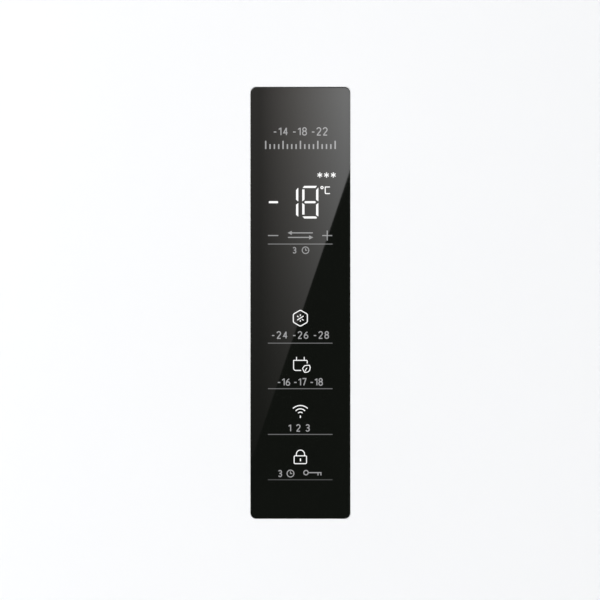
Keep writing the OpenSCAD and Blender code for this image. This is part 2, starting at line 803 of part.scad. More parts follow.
module evaporation_tray() {
    w = 150;
    d = 110;
    h = 26;
    wall = 2;
    corner_r = 14;
    color("#e6e7e8") translate([compressor_x, compressor_y, compressor_foot_z + compressor_h]) difference() {
        linear_extrude(h) rounded_rect(w, d, corner_r);
        translate([0, 0, wall]) linear_extrude(h) rounded_rect(w - 2 * wall, d - 2 * wall, corner_r - wall);
    }
}

cover_margin = 3.5;   // from the cover's edges to the cabinet's sides
cover_half = half_w - cover_margin;
cover_z0 = underside_z + 3;
cover_z1 = bay_top_z + 16;
cover_t = 1.6;
cover_rim = 12;       // flat rim at the cover's sides
gland_x = half_w - 66;
gland_z = underside_z + 34;
gland_d = 18;
gland_neck_d = 14;    // part of the gland in the cover's hole
gland_l = 15;

module machine_cover() {
    slot_l = 34;
    slot_w = 4;
    slot_pitch = 44;
    slot_row_pitch = 20;
    slot_rise = 34;       // from the cover's bottom to the lowest slots
    rim_below = 10;
    rim_above = 20;
    x = cover_half - cover_rim;
    z0 = cover_z0 + rim_below;
    z1 = cover_z1 - rim_above;
    color("lightgray") difference() {
        union() {
            box(-cover_half, cover_half, back_y, back_y + cover_t, cover_z0, cover_z1);
            box(-x, x, back_y, back_y + rear_bulge, z0, z1);
        }
        box(-x + cover_t, x - cover_t, back_y - eps, back_y + rear_bulge - cover_t,
            z0 + cover_t, z1 - cover_t);
        for (i = [-5:5], k = [0:7])
            if (k > 1 || i < 2)
                box(i * slot_pitch - slot_l / 2, i * slot_pitch + slot_l / 2,
                    back_y, back_y + rear_bulge + eps,
                    cover_z0 + slot_rise + k * slot_row_pitch,
                    cover_z0 + slot_rise + k * slot_row_pitch + slot_w);
        rod_y(gland_x, back_y, back_y + rear_bulge + eps, gland_z, gland_neck_d);
        screw_bores();
    }
}

module mains_gland() {
    y1 = back_y + rear_bulge;
    color("black") difference() {
        union() {
            rod_y(gland_x, y1 - gland_l, y1 - cover_t, gland_z, gland_d);
            rod_y(gland_x, y1 - gland_l, y1, gland_z, gland_neck_d);
        }
        rod_y(gland_x, y1 - gland_l - eps, y1 + eps, gland_z, gland_bore_d);
    }
}

// One screw whose head stands on a face; d is the shank, and dir turns its axis
module screw(d, l) {
    translate([0, 0, -l]) cylinder(d = d, h = l + 0.5, $fn = 24);
    cylinder(d = 2.1 * d, h = 1.8, $fn = 32);
}

hinge_screw_d = 5;
hinge_screw_l = 14;   // part of a hinge screw inside the cabinet
cover_screw_d = 4;
rear_screw_l = 8;     // length of a cover screw's shank
cover_screws = [for (s = [-1, 1], z = [cover_z0 + 14, cover_z1 - 24]) [s * (cover_half - 5.5), z]];
top_leaf_y = cab_y + 24;  // front of the top hinge's leaf
top_leaf_d = 32;
top_leaf_l = 78;      // top hinge's leaf, from the axis towards the middle
top_hinge_screws = [for (x = [4, 34, 64]) [hinge_x - x, top_leaf_y + 18]];
bottom_hinge_screws = [for (x = [-6, 20, 54]) [hinge_x - x, bottom_plate_z - hinge_leaf_h / 2]];

// The shanks of all the screws, to cut their holes; the front ones fit either side of the cabinet
module screw_bores() {
    for (p = top_hinge_screws) translate([p[0], p[1], top_z - hinge_screw_l])
        cylinder(d = hinge_screw_d, h = hinge_screw_l + eps, $fn = 24);
    for (s = [-1, 1], p = bottom_hinge_screws)
        translate([s * p[0], cab_y - eps, p[1]]) rotate([-90, 0, 0])
            cylinder(d = hinge_screw_d, h = hinge_screw_l + 2 * eps, $fn = 24);
    for (p = cover_screws) translate([p[0], back_y + cover_t - rear_screw_l, p[1]]) rotate([-90, 0, 0])
        cylinder(d = cover_screw_d, h = rear_screw_l + eps, $fn = 24);
}

module screws() {
    color("silver") {
        for (p = top_hinge_screws) translate([p[0], p[1], top_z + hinge_plate_t])
            screw(hinge_screw_d, hinge_plate_t + hinge_screw_l);
        for (p = bottom_hinge_screws) translate([p[0], cab_y - hinge_plate_t, p[1]]) rotate([90, 0, 0])
            screw(hinge_screw_d, hinge_plate_t + hinge_screw_l);
        for (p = cover_screws) translate([p[0], back_y + cover_t, p[1]]) rotate([-90, 0, 0])
            screw(cover_screw_d, rear_screw_l);
    }
}

control_w = 220;
control_h = 130;
control_d = 42;
control_drop = 150;   // from the cabinet's top to the control box's middle
control_z = top_z - control_drop;
control_wall = 2;

module control_box() {
    t = control_wall;
    rim = 8;
    x = control_w / 2;
    z0 = control_z - control_h / 2;
    z1 = control_z + control_h / 2;
    color("gray") {
        difference() {
            union() {
                box(-x, x, back_y - control_d, back_y, z0, z1);
                box(-x - rim, x + rim, back_y, back_y + t, z0 - rim, z1 + rim);
            }
            box(-x + t, x - t, back_y - control_d + t, back_y + t + eps, z0 + t, z1 - t);
        }
        box(-x + t, x - t, back_y, back_y + t, z0 + t, z1 - t);
    }
}

module control_board() {
    board_t = 1.6;
    standoff_h = 8;
    standoff_d = 7;
    corner = 14;          // from the box's corners to the standoffs
    margin = 8;
    relay = [16, 15.4, 20];
    transformer = [40, 18.4, 50];
    plug = [34, 9.4, 10];
    capacitor_d = 16;
    capacitor_h = 22;
    x = control_w / 2;
    z = control_h / 2;
    floor_y = back_y - control_d + control_wall;
    y0 = floor_y + standoff_h;
    y1 = y0 + board_t;
    color("darkgreen") {
        box(-x + margin, x - margin, y0, y1, control_z - z + margin, control_z + z - margin);
        for (i = [0:2]) translate([-80 + 28 * i, y1, control_z - 40]) cube(relay);
        for (i = [0:1]) rod_y(10 + 24 * i, y0, y0 + capacitor_h, control_z + 16, capacitor_d);
        translate([50, y1, control_z - 20]) cube(transformer);
        for (i = [0:2]) translate([-86 + 46 * i, y1, control_z + 40]) cube(plug);
        for (s = [-1, 1], t = [-1, 1])
            rod_y(s * (x - corner), floor_y, y0 + board_t / 2, control_z + t * (z - corner), standoff_d);
    }
}

// Cold side, behind the evaporator's cover

fin_t = 0.6;
fin_count = 15;
fin_over = 16;        // how far the fins reach past the outer tubes

module evaporator_coil() {
    color("silver") {
        for (c = [-0.5, 0.5], k = [0:evap_rows - 1])
            rod_x(-evap_half, evap_half, evap_y + c * evap_col_pitch, evap_z0 + k * evap_row_pitch,
                  evap_tube_d);
        for (c = [-0.5, 0.5], k = [0:evap_rows - 2]) {
            right = k % 2 == 1;
            translate([right ? evap_half : -evap_half, evap_y + c * evap_col_pitch,
                       evap_z0 + (k + 0.5) * evap_row_pitch])
                rotate([90, 0, 0]) rotate([0, 0, right ? -90 : 90]) rotate_extrude(angle = 180)
                    translate([evap_row_pitch / 2, 0]) circle(d = evap_tube_d, $fn = 24);
        }
        translate([evap_half, evap_y, evap_top_z]) rotate([0, 0, -90])
            rotate_extrude(angle = 180) translate([evap_col_pitch / 2, 0]) circle(d = evap_tube_d, $fn = 24);
    }
}

module evaporator_fins() {
    front_gap = 12;       // from the duct's front to the fins
    side_gap = 14;        // from the straight tubes' ends to the outer fins
    y0 = duct_y + front_gap;
    spread = evap_half - side_gap;
    color("gainsboro") difference() {
        for (i = [0:fin_count - 1]) {
            x = -spread + i * 2 * spread / (fin_count - 1);
            box(x - fin_t / 2, x + fin_t / 2, y0, cavity_back_y, evap_z0 - fin_over, evap_top_z + fin_over);
        }
        for (c = [-0.5, 0.5], k = [0:evap_rows - 1])
            rod_x(-evap_half, evap_half, evap_y + c * evap_col_pitch, evap_z0 + k * evap_row_pitch,
                  evap_tube_d);
    }
}

module defrost_heater() {
    heater_d = 8;
    turn_r = 12;
    side_gap = 30;
    z0 = evap_z0 - fin_over - contact_gap - heater_d / 2;
    x = evap_half - side_gap;
    color("dimgray") {
        for (k = [0, 1]) rod_x(-x, x, evap_y, z0 - k * 2 * turn_r, heater_d);
        translate([x, evap_y, z0 - turn_r]) rotate([90, 0, 0]) rotate([0, 0, -90])
            rotate_extrude(angle = 180) translate([turn_r, 0]) circle(d = heater_d, $fn = 24);
    }
}

cover_panel_t = 3;
band_w = 150;         // air duct on the cover's middle
band_h = 12;
cold_fan_d = 110;
cold_fan_rise = 116;  // from the highest tubes to the fan's axis
cold_fan_z = evap_top_z + cold_fan_rise;
cold_fan_shaft_d = 4;

module evaporator_cover() {
    vent_w = 46;
    vent_h = 7;
    vent_x = 36;
    vent_drop = 44;       // from a zone's top to its highest vents
    intake_w = 40;
    intake_h = 8;
    intake_pitch = 54;
    intake_rise = 13;
    z0 = step_top_z + 24;
    z1 = ceiling_z - 8;
    color("white") difference() {
        union() {
            box(-mouth_half, mouth_half, duct_y, duct_y + cover_panel_t, step_top_z, ceiling_z);
            box(-band_w / 2, band_w / 2, duct_y - band_h, duct_y + cover_panel_t, z0, z1);
        }
        box(-band_w / 2 + cover_panel_t, band_w / 2 - cover_panel_t, duct_y - band_h + cover_panel_t, duct_y,
            z0 + cover_panel_t, z1 - cover_panel_t);
        rod_y(0, duct_y - eps, duct_y + cover_panel_t + eps, cold_fan_z, cold_fan_d + 2 * tip_gap);
        for (i = [0:zone_count - 1], s = [-1, 1], k = [0:2])
            extrude_y(duct_y - band_h - eps, duct_y - band_h + cover_panel_t + eps)
                translate([s * vent_x, shelf_z(i) + zone_pitch - vent_drop - k * 2.2 * vent_h])
                rounded_rect(vent_w, vent_h, vent_h / 2 - 0.1);
        for (i = [-3:3])
            extrude_y(duct_y - eps, duct_y + cover_panel_t + eps)
                translate([i * intake_pitch, step_top_z + intake_rise])
                rounded_rect(intake_w, intake_h, intake_h / 2 - 0.1);
    }
}

module evaporator_fan_frame() {
    rim = 13;
    corner_r = 10;
    depth = 26;
    motor_d = 38;
    motor_l = 22;
    arm_w = 8;
    arm_t = 4.5;
    arm_root = 3;         // part of an arm inside the motor
    shaft_start = 4;
    side = cold_fan_d + 2 * rim;
    y0 = duct_y + cover_panel_t;
    color("gainsboro") {
        difference() {
            extrude_y(y0, y0 + depth) translate([0, cold_fan_z]) rounded_rect(side, side, corner_r);
            rod_y(0, y0 - eps, y0 + depth + eps, cold_fan_z, cold_fan_d + 2 * tip_gap);
        }
        rod_y(0, y0 + depth, y0 + depth + motor_l, cold_fan_z, motor_d);
        rod_y(0, y0 + shaft_start, y0 + depth + 1, cold_fan_z, cold_fan_shaft_d);
        for (a = [0:120:240]) translate([0, y0 + depth - arm_root, cold_fan_z]) rotate([0, a, 0])
            translate([-arm_w / 2, 0, motor_d / 2 - arm_root])
            cube([arm_w, arm_t, (cold_fan_d - motor_d) / 2 + tip_gap + 2 * arm_root]);
    }
}

module evaporator_fan() {
    hub_d = 34;
    depth = 16;
    setback = 11.5;       // from the cover's back to the wheel's middle
    color("white") translate([0, duct_y + cover_panel_t + setback, cold_fan_z]) rotate([90, 0, 0])
        fan_wheel(cold_fan_d, hub_d, depth, 5, cold_fan_shaft_d);
}

module interior_light() {
    light_w = 190;
    light_d = 40;
    light_h = 10;
    light_back = 44;      // from the cabinet's front to the light
    color("white") extrude_y(cab_y + light_back, cab_y + light_back + light_d)
        translate([0, ceiling_z - light_h / 2]) rounded_rect(light_w, light_h, 3);
}

shelf_back = 22;      // from the cabinet's front to the shelves' trims
shelf_y0 = cab_y + shelf_back;
shelf_side_gap = 1;
trim_wall = 2;
trim_d = 14;
trim_lip = 1;
trim_drop = 6;

module glass_shelves() {
    x = mouth_half - shelf_side_gap;
    color("lightcyan", 0.5) for (i = [0:zone_count - 1])
        box(-x, x, shelf_y0 + trim_wall, duct_y - band_h - 2, shelf_z(i), shelf_z(i) + shelf_t);
}

module shelf_trims() {
    x = mouth_half - ledge_w - shelf_side_gap;
    color("white") for (i = [0:zone_count - 1]) difference() {
        box(-x, x, shelf_y0, shelf_y0 + trim_d, shelf_z(i) - trim_drop, shelf_z(i) + shelf_t + trim_lip);
        box(-x - eps, x + eps, shelf_y0 + trim_wall, shelf_y0 + trim_d + eps,
            shelf_z(i), shelf_z(i) + shelf_t);
    }
}

// Drawers

upper_drawers = 4;    // zones with a drawer, from the lowest up
drawer_y0 = cab_y + drawer_setback;
drawer_w = cavity_w - 2 * drawer_side_gap;
drawer_back_gap = 14; // between a drawer and the air duct
low_back_gap = 12;    // between the low drawer and the liner's step
drawer_top_gap = 5;   // between a drawer and the ledges above it
drawer_d = duct_y - band_h - drawer_back_gap - drawer_y0;
low_drawer_d = step_y - liner_t - low_back_gap - drawer_y0;
drawer_lift = trim_lip + contact_gap;
drawer_h = zone_pitch - shelf_t - drawer_lift - ledge_h - drawer_top_gap;
low_drawer_h = shelf0_z - ledge_h - drawer_top_gap - floor_z - contact_gap;
pull_w = 220;
pull_reach = 13;
pull_h = 22;
pull_t = 3;
side_drop = 26;       // how much lower the sides stand than the front

module drawer_body(depth, h) {
    r = drawer_corner_r;
    top_t = 4;            // top web of the pull
    color("aliceblue", 0.6) translate([0, drawer_y0, 0]) {
        difference() {
            translate([0, depth / 2, 0]) linear_extrude(h) rounded_rect(drawer_w, depth, r);
            translate([0, depth / 2, drawer_wall]) linear_extrude(h)
                rounded_rect(drawer_w - 2 * drawer_wall, depth - 2 * drawer_wall, r - drawer_wall);
            box(-drawer_w / 2 - eps, drawer_w / 2 + eps, r, depth + eps, h - side_drop, h + eps);
        }
        box(-pull_w / 2, pull_w / 2, -pull_reach, drawer_wall / 2, h - top_t, h);
        box(-pull_w / 2, pull_w / 2, -pull_reach, -pull_reach + pull_t, h - pull_h, h);
        for (s = [-1, 1])
            box((s * pull_w - pull_t) / 2, (s * pull_w + pull_t) / 2, -pull_reach, drawer_wall / 2,
                h - pull_h, h);
    }
}

module upper_drawer(k) {
    translate([0, 0, shelf_z(upper_drawers - k) + shelf_t + drawer_lift]) drawer_body(drawer_d, drawer_h);
}

module low_drawer() {
    translate([0, 0, floor_z + contact_gap]) drawer_body(low_drawer_d, low_drawer_h);
}

// Hinges

module top_hinge() {
    x1 = hinge_x + plate_nose_r;
    leaf_y1 = top_leaf_y + top_leaf_d;
    color("silver") difference() {
        union() {
            translate([hinge_x, hinge_y, top_z]) cylinder(r = plate_nose_r, h = hinge_plate_t);
            box(hinge_x - plate_nose_r, x1, hinge_y, leaf_y1, top_z, top_z + hinge_plate_t);
            box(hinge_x - top_leaf_l, x1, top_leaf_y, leaf_y1, top_z, top_z + hinge_plate_t);
            translate([hinge_x, hinge_y, top_z - hinge_pin_l])
                cylinder(d = hinge_pin_d, h = hinge_pin_l + hinge_plate_t / 2);
        }
        for (p = top_hinge_screws) translate([p[0], p[1], top_z - eps])
            cylinder(d = hinge_screw_d, h = hinge_plate_t + 2 * eps);
    }
}

module bottom_hinge() {
    x1 = hinge_x + plate_nose_r;
    z1 = bottom_plate_z + hinge_plate_t;
    color("silver") difference() {
        union() {
            translate([hinge_x, hinge_y, bottom_plate_z]) cylinder(r = plate_nose_r, h = hinge_plate_t);
            box(hinge_x - plate_nose_r, x1, hinge_y, cab_y, bottom_plate_z, z1);
            box(hinge_x - hinge_leaf_l, x1, cab_y - hinge_plate_t, cab_y, bottom_plate_z - hinge_leaf_h, z1);
            translate([hinge_x, hinge_y, z1 - hinge_plate_t / 2])
                cylinder(d = hinge_pin_d, h = hinge_pin_l + hinge_plate_t / 2);
        }
        for (p = bottom_hinge_screws)
            rod_y(p[0], cab_y - hinge_plate_t - eps, cab_y + eps, p[1], hinge_screw_d);
    }
}

module hinge_cover() {
    t = 2;
    corner_r = 8;
    margin = 14;          // round the hinge's leaf
    front_in = 6;         // from the door's front to the cover
    x0 = hinge_x - top_leaf_l - margin;
    x1 = half_w - 1;
    y0 = front_y + front_in;
    y1 = top_leaf_y + top_leaf_d + margin;
    color("gainsboro") difference() {
        translate([(x0 + x1) / 2, (y0 + y1) / 2, top_z]) linear_extrude(hinge_cover_h)
            rounded_rect(x1 - x0, y1 - y0, corner_r);
        translate([(x0 + x1) / 2, (y0 + y1) / 2, top_z - eps]) linear_extrude(hinge_cover_h - t + eps)
            rounded_rect(x1 - x0 - 2 * t, y1 - y0 - 2 * t, corner_r - t);
    }
}

// A bush in the top cap and one in the bottom cap, each with its flange outside the door
module hinge_bush(z, up) {
    translate([hinge_x, hinge_y, z]) mirror([0, 0, up ? 0 : 1]) difference() {
        union() {
            cylinder(d = bush_d + 2 * bush_flange_w, h = bush_flange_t);
            translate([0, 0, -bush_l]) cylinder(d = bush_d, h = bush_l + bush_flange_t);
        }
        translate([0, 0, -bush_l - eps])
            cylinder(d = hinge_pin_d + 2 * running, h = bush_l + bush_flange_t + 2 * eps);
    }
}

module hinge_bushes() {
    color("ivory") {
        hinge_bush(door_top_z, true);
        hinge_bush(door_z, false);
    }
}

// Door

cap_t = 4;            // the part of an end cap that shows
cap_spigot = 22;      // the part of an end cap inside the skin
hem_w = 15;
skin_z0 = door_z + cap_t;
skin_z1 = door_top_z - cap_t;
foam_z0 = skin_z0 + cap_spigot;
foam_z1 = skin_z1 - cap_spigot;

// Plan of the door with round front edges, drawn inward of its faces by inset
module door_plan(inset) {
    r = door_edge_r - inset;
    w = half_w - inset;
    translate([-w, front_y + door_edge_r]) square([2 * w, door_back_y - inset - front_y - door_edge_r]);
    translate([-w + r, front_y + inset]) square([2 * (w - r), door_t - 2 * inset]);
    for (s = [-1, 1]) translate([s * (w - r), front_y + inset + r]) circle(r);
}

module door_skin() {
    color("whitesmoke") difference() {
        translate([0, 0, skin_z0]) linear_extrude(skin_z1 - skin_z0) difference() {
            door_plan(0);
            door_plan(sheet_t);
            translate([-half_w + hem_w, door_back_y - 2 * sheet_t])
                square([overall_w - 2 * hem_w, 3 * sheet_t]);
        }
        extrude_y(front_y - eps, front_y + 2 * sheet_t) translate([0, panel_z])
            rounded_rect(panel_w + 2 * glass_gap, panel_h + 2 * glass_gap, panel_corner_r + glass_gap);
        box(-half_w - eps, -half_w + 2 * sheet_t, grip_y0, grip_y1, grip_z - grip_l / 2, grip_z + grip_l / 2);
    }
}

// Plan of the middle of the door, which the end caps leave to the foam
module cap_opening() {
    side = 30;            // from the hems to the opening
    wall = 9;             // between the opening and the door's faces
    translate([0, (front_y + door_back_y) / 2])
        square([overall_w - 2 * (hem_w + side), door_t - 2 * wall], center = true);
}

// Plan of the inside of the door, in front of its liner
module door_inside() {
    intersection() {
        door_plan(sheet_t);
        translate([-half_w, front_y]) square([overall_w, door_t - liner_t]);
    }
}

module door_cap(z0, plate_z, bush_z) {
    color("gainsboro") difference() {
        union() {
            translate([0, 0, plate_z]) linear_extrude(cap_t) door_plan(0);
            translate([0, 0, z0]) linear_extrude(cap_spigot) difference() {
                door_inside();
                cap_opening();
            }
        }
        translate([hinge_x, hinge_y, bush_z]) cylinder(d = bush_d, h = bush_l + eps);
    }
}

module door_cap_top() {
    door_cap(foam_z1, skin_z1, door_top_z - bush_l);
}

module door_cap_bottom() {
    door_cap(skin_z0, door_z, door_z - eps);
}

housing_wall = 1.6;
housing_gap = 1;      // between the display module and the housing
housing_w = panel_w + 2 * (glass_gap + housing_gap + housing_wall);
housing_h = panel_h + 2 * (glass_gap + housing_gap + housing_wall);
housing_depth = 26;
grip_wall = 1.6;
grip_open = 32;       // width of the grip's mouth
grip_back = 16;       // from the door's front to the grip's mouth
grip_y0 = front_y + grip_back;
grip_y1 = grip_y0 + grip_open;
ridge_w = 14;
ridge_gap = 8;        // between the ridge and the cavity's mouth

module ridge_ring(grow, y0, y1) {
    x = mouth_half - ridge_gap;
    h = ceiling_z - floor_z - 2 * ridge_gap;
    extrude_y(y0, y1) translate([0, (ceiling_z + floor_z) / 2]) difference() {
        rounded_rect(2 * x + 2 * grow, h + 2 * grow, 12);
        rounded_rect(2 * (x - ridge_w) - 2 * grow, h - 2 * ridge_w - 2 * grow, 10);
    }
}

module door_foam() {
    color("khaki") difference() {
        union() {
            translate([0, 0, foam_z0]) linear_extrude(foam_z1 - foam_z0) door_inside();
            translate([0, 0, skin_z0]) linear_extrude(skin_z1 - skin_z0) cap_opening();
            ridge_ring(-liner_t, door_back_y - liner_t - eps, door_back_y + ridge_h - liner_t);
        }
        box(-housing_w / 2, housing_w / 2, front_y, front_y + sheet_t + housing_depth,
            panel_z - housing_h / 2, panel_z + housing_h / 2);
        box(-half_w - eps, -half_w + sheet_t + grip_depth, grip_y0 - grip_wall, grip_y1 + grip_wall,
            grip_z - grip_l / 2 - grip_wall, grip_z + grip_l / 2 + grip_wall);
    }
}

module door_liner() {
    color("white") difference() {
        union() {
            box(-half_w + hem_w, half_w - hem_w, door_back_y - liner_t, door_back_y, skin_z0, skin_z1);
            ridge_ring(0, door_back_y - liner_t, door_back_y + ridge_h);
        }
        ridge_ring(-liner_t, door_back_y - liner_t - eps, door_back_y + ridge_h - liner_t);
    }
}

seal_margin = 18.5;   // from the door's ends and sides to the seal
seal_x = half_w - seal_margin;

module seal_ring(inset, w, y0, y1) {
    z0 = door_z + seal_margin + inset;
    z1 = door_top_z - seal_margin - inset;
    x = seal_x - inset;
    extrude_y(y0, y1) translate([0, (z0 + z1) / 2]) difference() {
        rounded_rect(2 * x, z1 - z0, 4);
        rounded_rect(2 * (x - w), z1 - z0 - 2 * w, 2);
    }
}

module door_seal() {
    base = 2;
    lip = 3;
    color("lightgray") {
        seal_ring(0, seal_w, door_back_y, door_back_y + base);
        seal_ring(3, seal_w - 7, door_back_y + base, cab_y - contact_gap - lip);
        seal_ring(1, seal_w - 2, cab_y - contact_gap - lip, cab_y - contact_gap);
    }
}

module door_grip() {
    color("gainsboro") difference() {
        box(-half_w + sheet_t, -half_w + sheet_t + grip_depth, grip_y0 - grip_wall, grip_y1 + grip_wall,
            grip_z - grip_l / 2 - grip_wall, grip_z + grip_l / 2 + grip_wall);
        box(-half_w, -half_w + sheet_t + grip_depth - grip_wall, grip_y0, grip_y1,
            grip_z - grip_l / 2, grip_z + grip_l / 2);
    }
}

// Touch panel; v is the depth behind the door's front face

carrier_w = 4;
carrier_t = 5.6;
board_t = 1.6;
glass_v1 = glass_t - glass_proud;
board_v = glass_v1 + carrier_t;
guide_gap = 0.4;

module panel_slab(w, h, r, v0, v1) {
    extrude_y(front_y + v0, front_y + v1) translate([0, panel_z]) rounded_rect(w, h, r);
}

module panel_glass() {
    color("#111310") panel_slab(panel_w, panel_h, panel_corner_r, -glass_proud, glass_v1);
}

module panel_carrier() {
    inset = 0.2;          // from the glass's edge to the carrier's
    color("#1c1d1e") difference() {
        panel_slab(panel_w - 2 * inset, panel_h - 2 * inset, panel_corner_r, glass_v1, board_v);
        panel_slab(panel_w - 2 * carrier_w, panel_h - 2 * carrier_w, 1, glass_v1 - eps, board_v + eps);
    }
}

// Display layout, measured from the panel's middle
digit_x = 4.55;       // middle of the units digit
one_x = -1.45;        // the single column of the tens digit
minus_x = -12.2;      // middle of the minus sign
minus_w = 4.7;
digits_z = 45.3;      // middle of the digits
segment_gap = 0.3;

segment_l = digit_h / 2 - 1.5 * segment_w - 2 * segment_gap;

// Seven bars of a digit centred on the origin, as (x, z)
module digit_bars() {
    for (k = [-1, 0, 1]) translate([0, k * (digit_h - segment_w) / 2])
        square([digit_w - 2 * (k == 0 ? segment_w + segment_gap : segment_w / 2), segment_w], center = true);
    for (s = [-1, 1], t = [-1, 1]) translate([s * (digit_w - segment_w) / 2, t * (digit_h - segment_w) / 4])
        square([segment_w, segment_l], center = true);
}

module display_windows() {
    translate([digit_x, digits_z]) digit_bars();
    for (t = [-1, 1]) translate([one_x, digits_z + t * (digit_h - segment_w) / 4])
        square([segment_w, segment_l], center = true);
    translate([minus_x, digits_z]) square([minus_w, segment_w], center = true);
}

icon_z = [-7.0, -28.2, -49.2, -69.7];   // middles of the four keys' icons
icon_window = [11, 8];
icon_wall = 1.5;
touch_drop = 8.6;     // from an icon's middle to its key's pad
touch_pad_d = 5.6;
sign_key = [11.8, 28.8];                // the minus and plus keys

module light_guide() {
    w = panel_w - 2 * carrier_w - 2 * guide_gap;
    h = digit_h + 12;
    color("white") difference() {
        extrude_y(front_y + glass_v1, front_y + board_v) translate([0, panel_z]) {
            translate([0, digits_z]) square([w, h], center = true);
            for (z = icon_z) translate([0, z])
                square([icon_window[0] + 2 * icon_wall, icon_window[1] + 2 * icon_wall], center = true);
        }
        extrude_y(front_y + glass_v1 - eps, front_y + board_v + eps) translate([0, panel_z]) {
            display_windows();
            for (z = icon_z) translate([0, z]) square(icon_window, center = true);
        }
    }
}

touch_spots = concat([for (s = [-1, 1]) [s * sign_key[0], sign_key[1]]],
                     [for (z = icon_z) [0, z - touch_drop]]);

module touch_pads() {
    color("dimgray") for (p = touch_spots)
        rod_y(p[0], front_y + glass_v1, front_y + board_v, panel_z + p[1], touch_pad_d);
}

module display_board() {
    inset = 0.5;
    plug = [18, 6, 8];
    chip = [12, 2.4, 12];
    plug_z = -70;         // below the panel's middle
    v1 = board_v + board_t;
    color("darkgreen") {
        panel_slab(panel_w - 2 * inset, panel_h - 2 * inset, 1, board_v, v1);
        translate([-plug[0] / 2, front_y + v1, panel_z + plug_z]) cube(plug);
        translate([-chip[0] / 2, front_y + v1, panel_z - chip[2] / 2]) cube(chip);
    }
}

module panel_housing() {
    post_d = 5;
    post_in = 5;          // from the glass's sides to the posts
    v0 = sheet_t;
    v1 = sheet_t + housing_depth;
    post_v = board_v + board_t;
    x = housing_w / 2;
    z = housing_h / 2;
    color("gainsboro") {
        difference() {
            box(-x, x, front_y + v0, front_y + v1, panel_z - z, panel_z + z);
            box(-x + housing_wall, x - housing_wall, front_y, front_y + v1 - housing_wall,
                panel_z - z + housing_wall, panel_z + z - housing_wall);
        }
        for (s = [-1, 1], t = [-1, 0, 1])
            rod_y(s * (panel_w / 2 - post_in), front_y + post_v, front_y + v1 - housing_wall / 2,
                  panel_z + t * (panel_h / 2 - 3 * post_in), post_d);
    }
}

side_panel(-1);  // side_panel_left
side_panel(1);  // side_panel_right
top_panel();
back_panel();
front_crossrails();
cabinet_foam();
inner_liner();
base_frame();
kick_plate();
compressor_plate();
compressor();
compressor_grommets();
compressor_bolts();
relay_box();
condenser_coil();
condenser_fan_frame();
condenser_fan();
refrigerant_lines();
filter_drier();
evaporation_tray();
machine_cover();
screws();
mains_gland();
control_box();
control_board();
evaporator_coil();
evaporator_fins();
evaporator_cover();
evaporator_fan_frame();
evaporator_fan();
defrost_heater();
interior_light();
glass_shelves();
shelf_trims();
top_hinge();
bottom_hinge();
hinge_cover();
roller(-roller_x);  // roller_left
roller(roller_x);  // roller_right
foot(-foot_x);  // foot_left
foot(foot_x);  // foot_right
upper_drawer(1);  // drawer_1
upper_drawer(2);  // drawer_2
upper_drawer(3);  // drawer_3
upper_drawer(4);  // drawer_4
low_drawer();  // drawer_5
door_skin();
door_cap_top();
door_cap_bottom();
door_foam();
door_liner();
door_seal();
door_grip();
hinge_bushes();
panel_glass();
panel_carrier();
light_guide();
touch_pads();
display_board();
panel_housing();
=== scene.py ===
"""Looks for the upright freezer: materials, panel signs, small fittings, light and camera."""

import math

import bmesh
import bpy
from mathutils import Matrix, Vector


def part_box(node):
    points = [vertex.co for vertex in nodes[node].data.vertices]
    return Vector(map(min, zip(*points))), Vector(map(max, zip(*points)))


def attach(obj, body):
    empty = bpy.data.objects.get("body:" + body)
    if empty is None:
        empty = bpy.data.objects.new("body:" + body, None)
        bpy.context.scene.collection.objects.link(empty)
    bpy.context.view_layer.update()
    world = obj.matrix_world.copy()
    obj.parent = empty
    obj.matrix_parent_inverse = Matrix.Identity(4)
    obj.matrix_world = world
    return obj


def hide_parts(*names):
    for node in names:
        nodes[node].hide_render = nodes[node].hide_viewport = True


MM = 0.001
NEAR = 0.0001              # metres within which two places count as one

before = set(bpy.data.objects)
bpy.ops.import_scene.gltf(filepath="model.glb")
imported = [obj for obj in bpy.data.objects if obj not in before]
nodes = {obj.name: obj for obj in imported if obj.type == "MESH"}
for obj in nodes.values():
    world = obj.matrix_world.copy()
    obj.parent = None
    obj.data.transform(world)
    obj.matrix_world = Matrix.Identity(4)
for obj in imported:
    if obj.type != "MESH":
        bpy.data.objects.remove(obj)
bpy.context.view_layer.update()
DRAWERS = [f"drawer_{k}" for k in range(1, 6)]


# Places worked out from the frame

glass_low, glass_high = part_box("panel_glass")
glass_y = glass_low.y
panel_x = (glass_low.x + glass_high.x) / 2
panel_z = (glass_low.z + glass_high.z) / 2
panel_w = glass_high.x - glass_low.x
panel_h = glass_high.z - glass_low.z
skin_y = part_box("door_skin")[0].y
GLASS_PROUD = 0.12         # millimetres from the door's sheet to the glass's face
face_y = skin_y - GLASS_PROUD * MM


# Material helpers. Where they take an owner, it is a material or the world.

NOISE_LOW, NOISE_HIGH = 0.3, 0.7    # most of a noise lies between these
GLOSS_SWING = 0.12                  # how far roughness strays from its mean, as a share
GLOSS_FINER = 4                     # uneven gloss against slow colour drift


def set_inputs(node, values):
    """Sets a node's own inputs by their names."""
    for name, value in values.items():
        node.inputs[name].default_value = value


def add_node(owner, kind, **inputs):
    """A shader node with some of its inputs set."""
    node = owner.node_tree.nodes.new(kind)
    set_inputs(node, inputs)
    return node


def join(owner, output, socket):
    owner.node_tree.links.new(output, socket)


def new_material(name, color, roughness, metallic=0.0):
    """A material with its Principled shader, ready for detail."""
    material = bpy.data.materials.new(name)
    material.use_nodes = True
    shader = material.node_tree.nodes["Principled BSDF"]
    set_inputs(shader, {"Base Color": (*color, 1), "Roughness": roughness, "Metallic": metallic})
    return material, shader


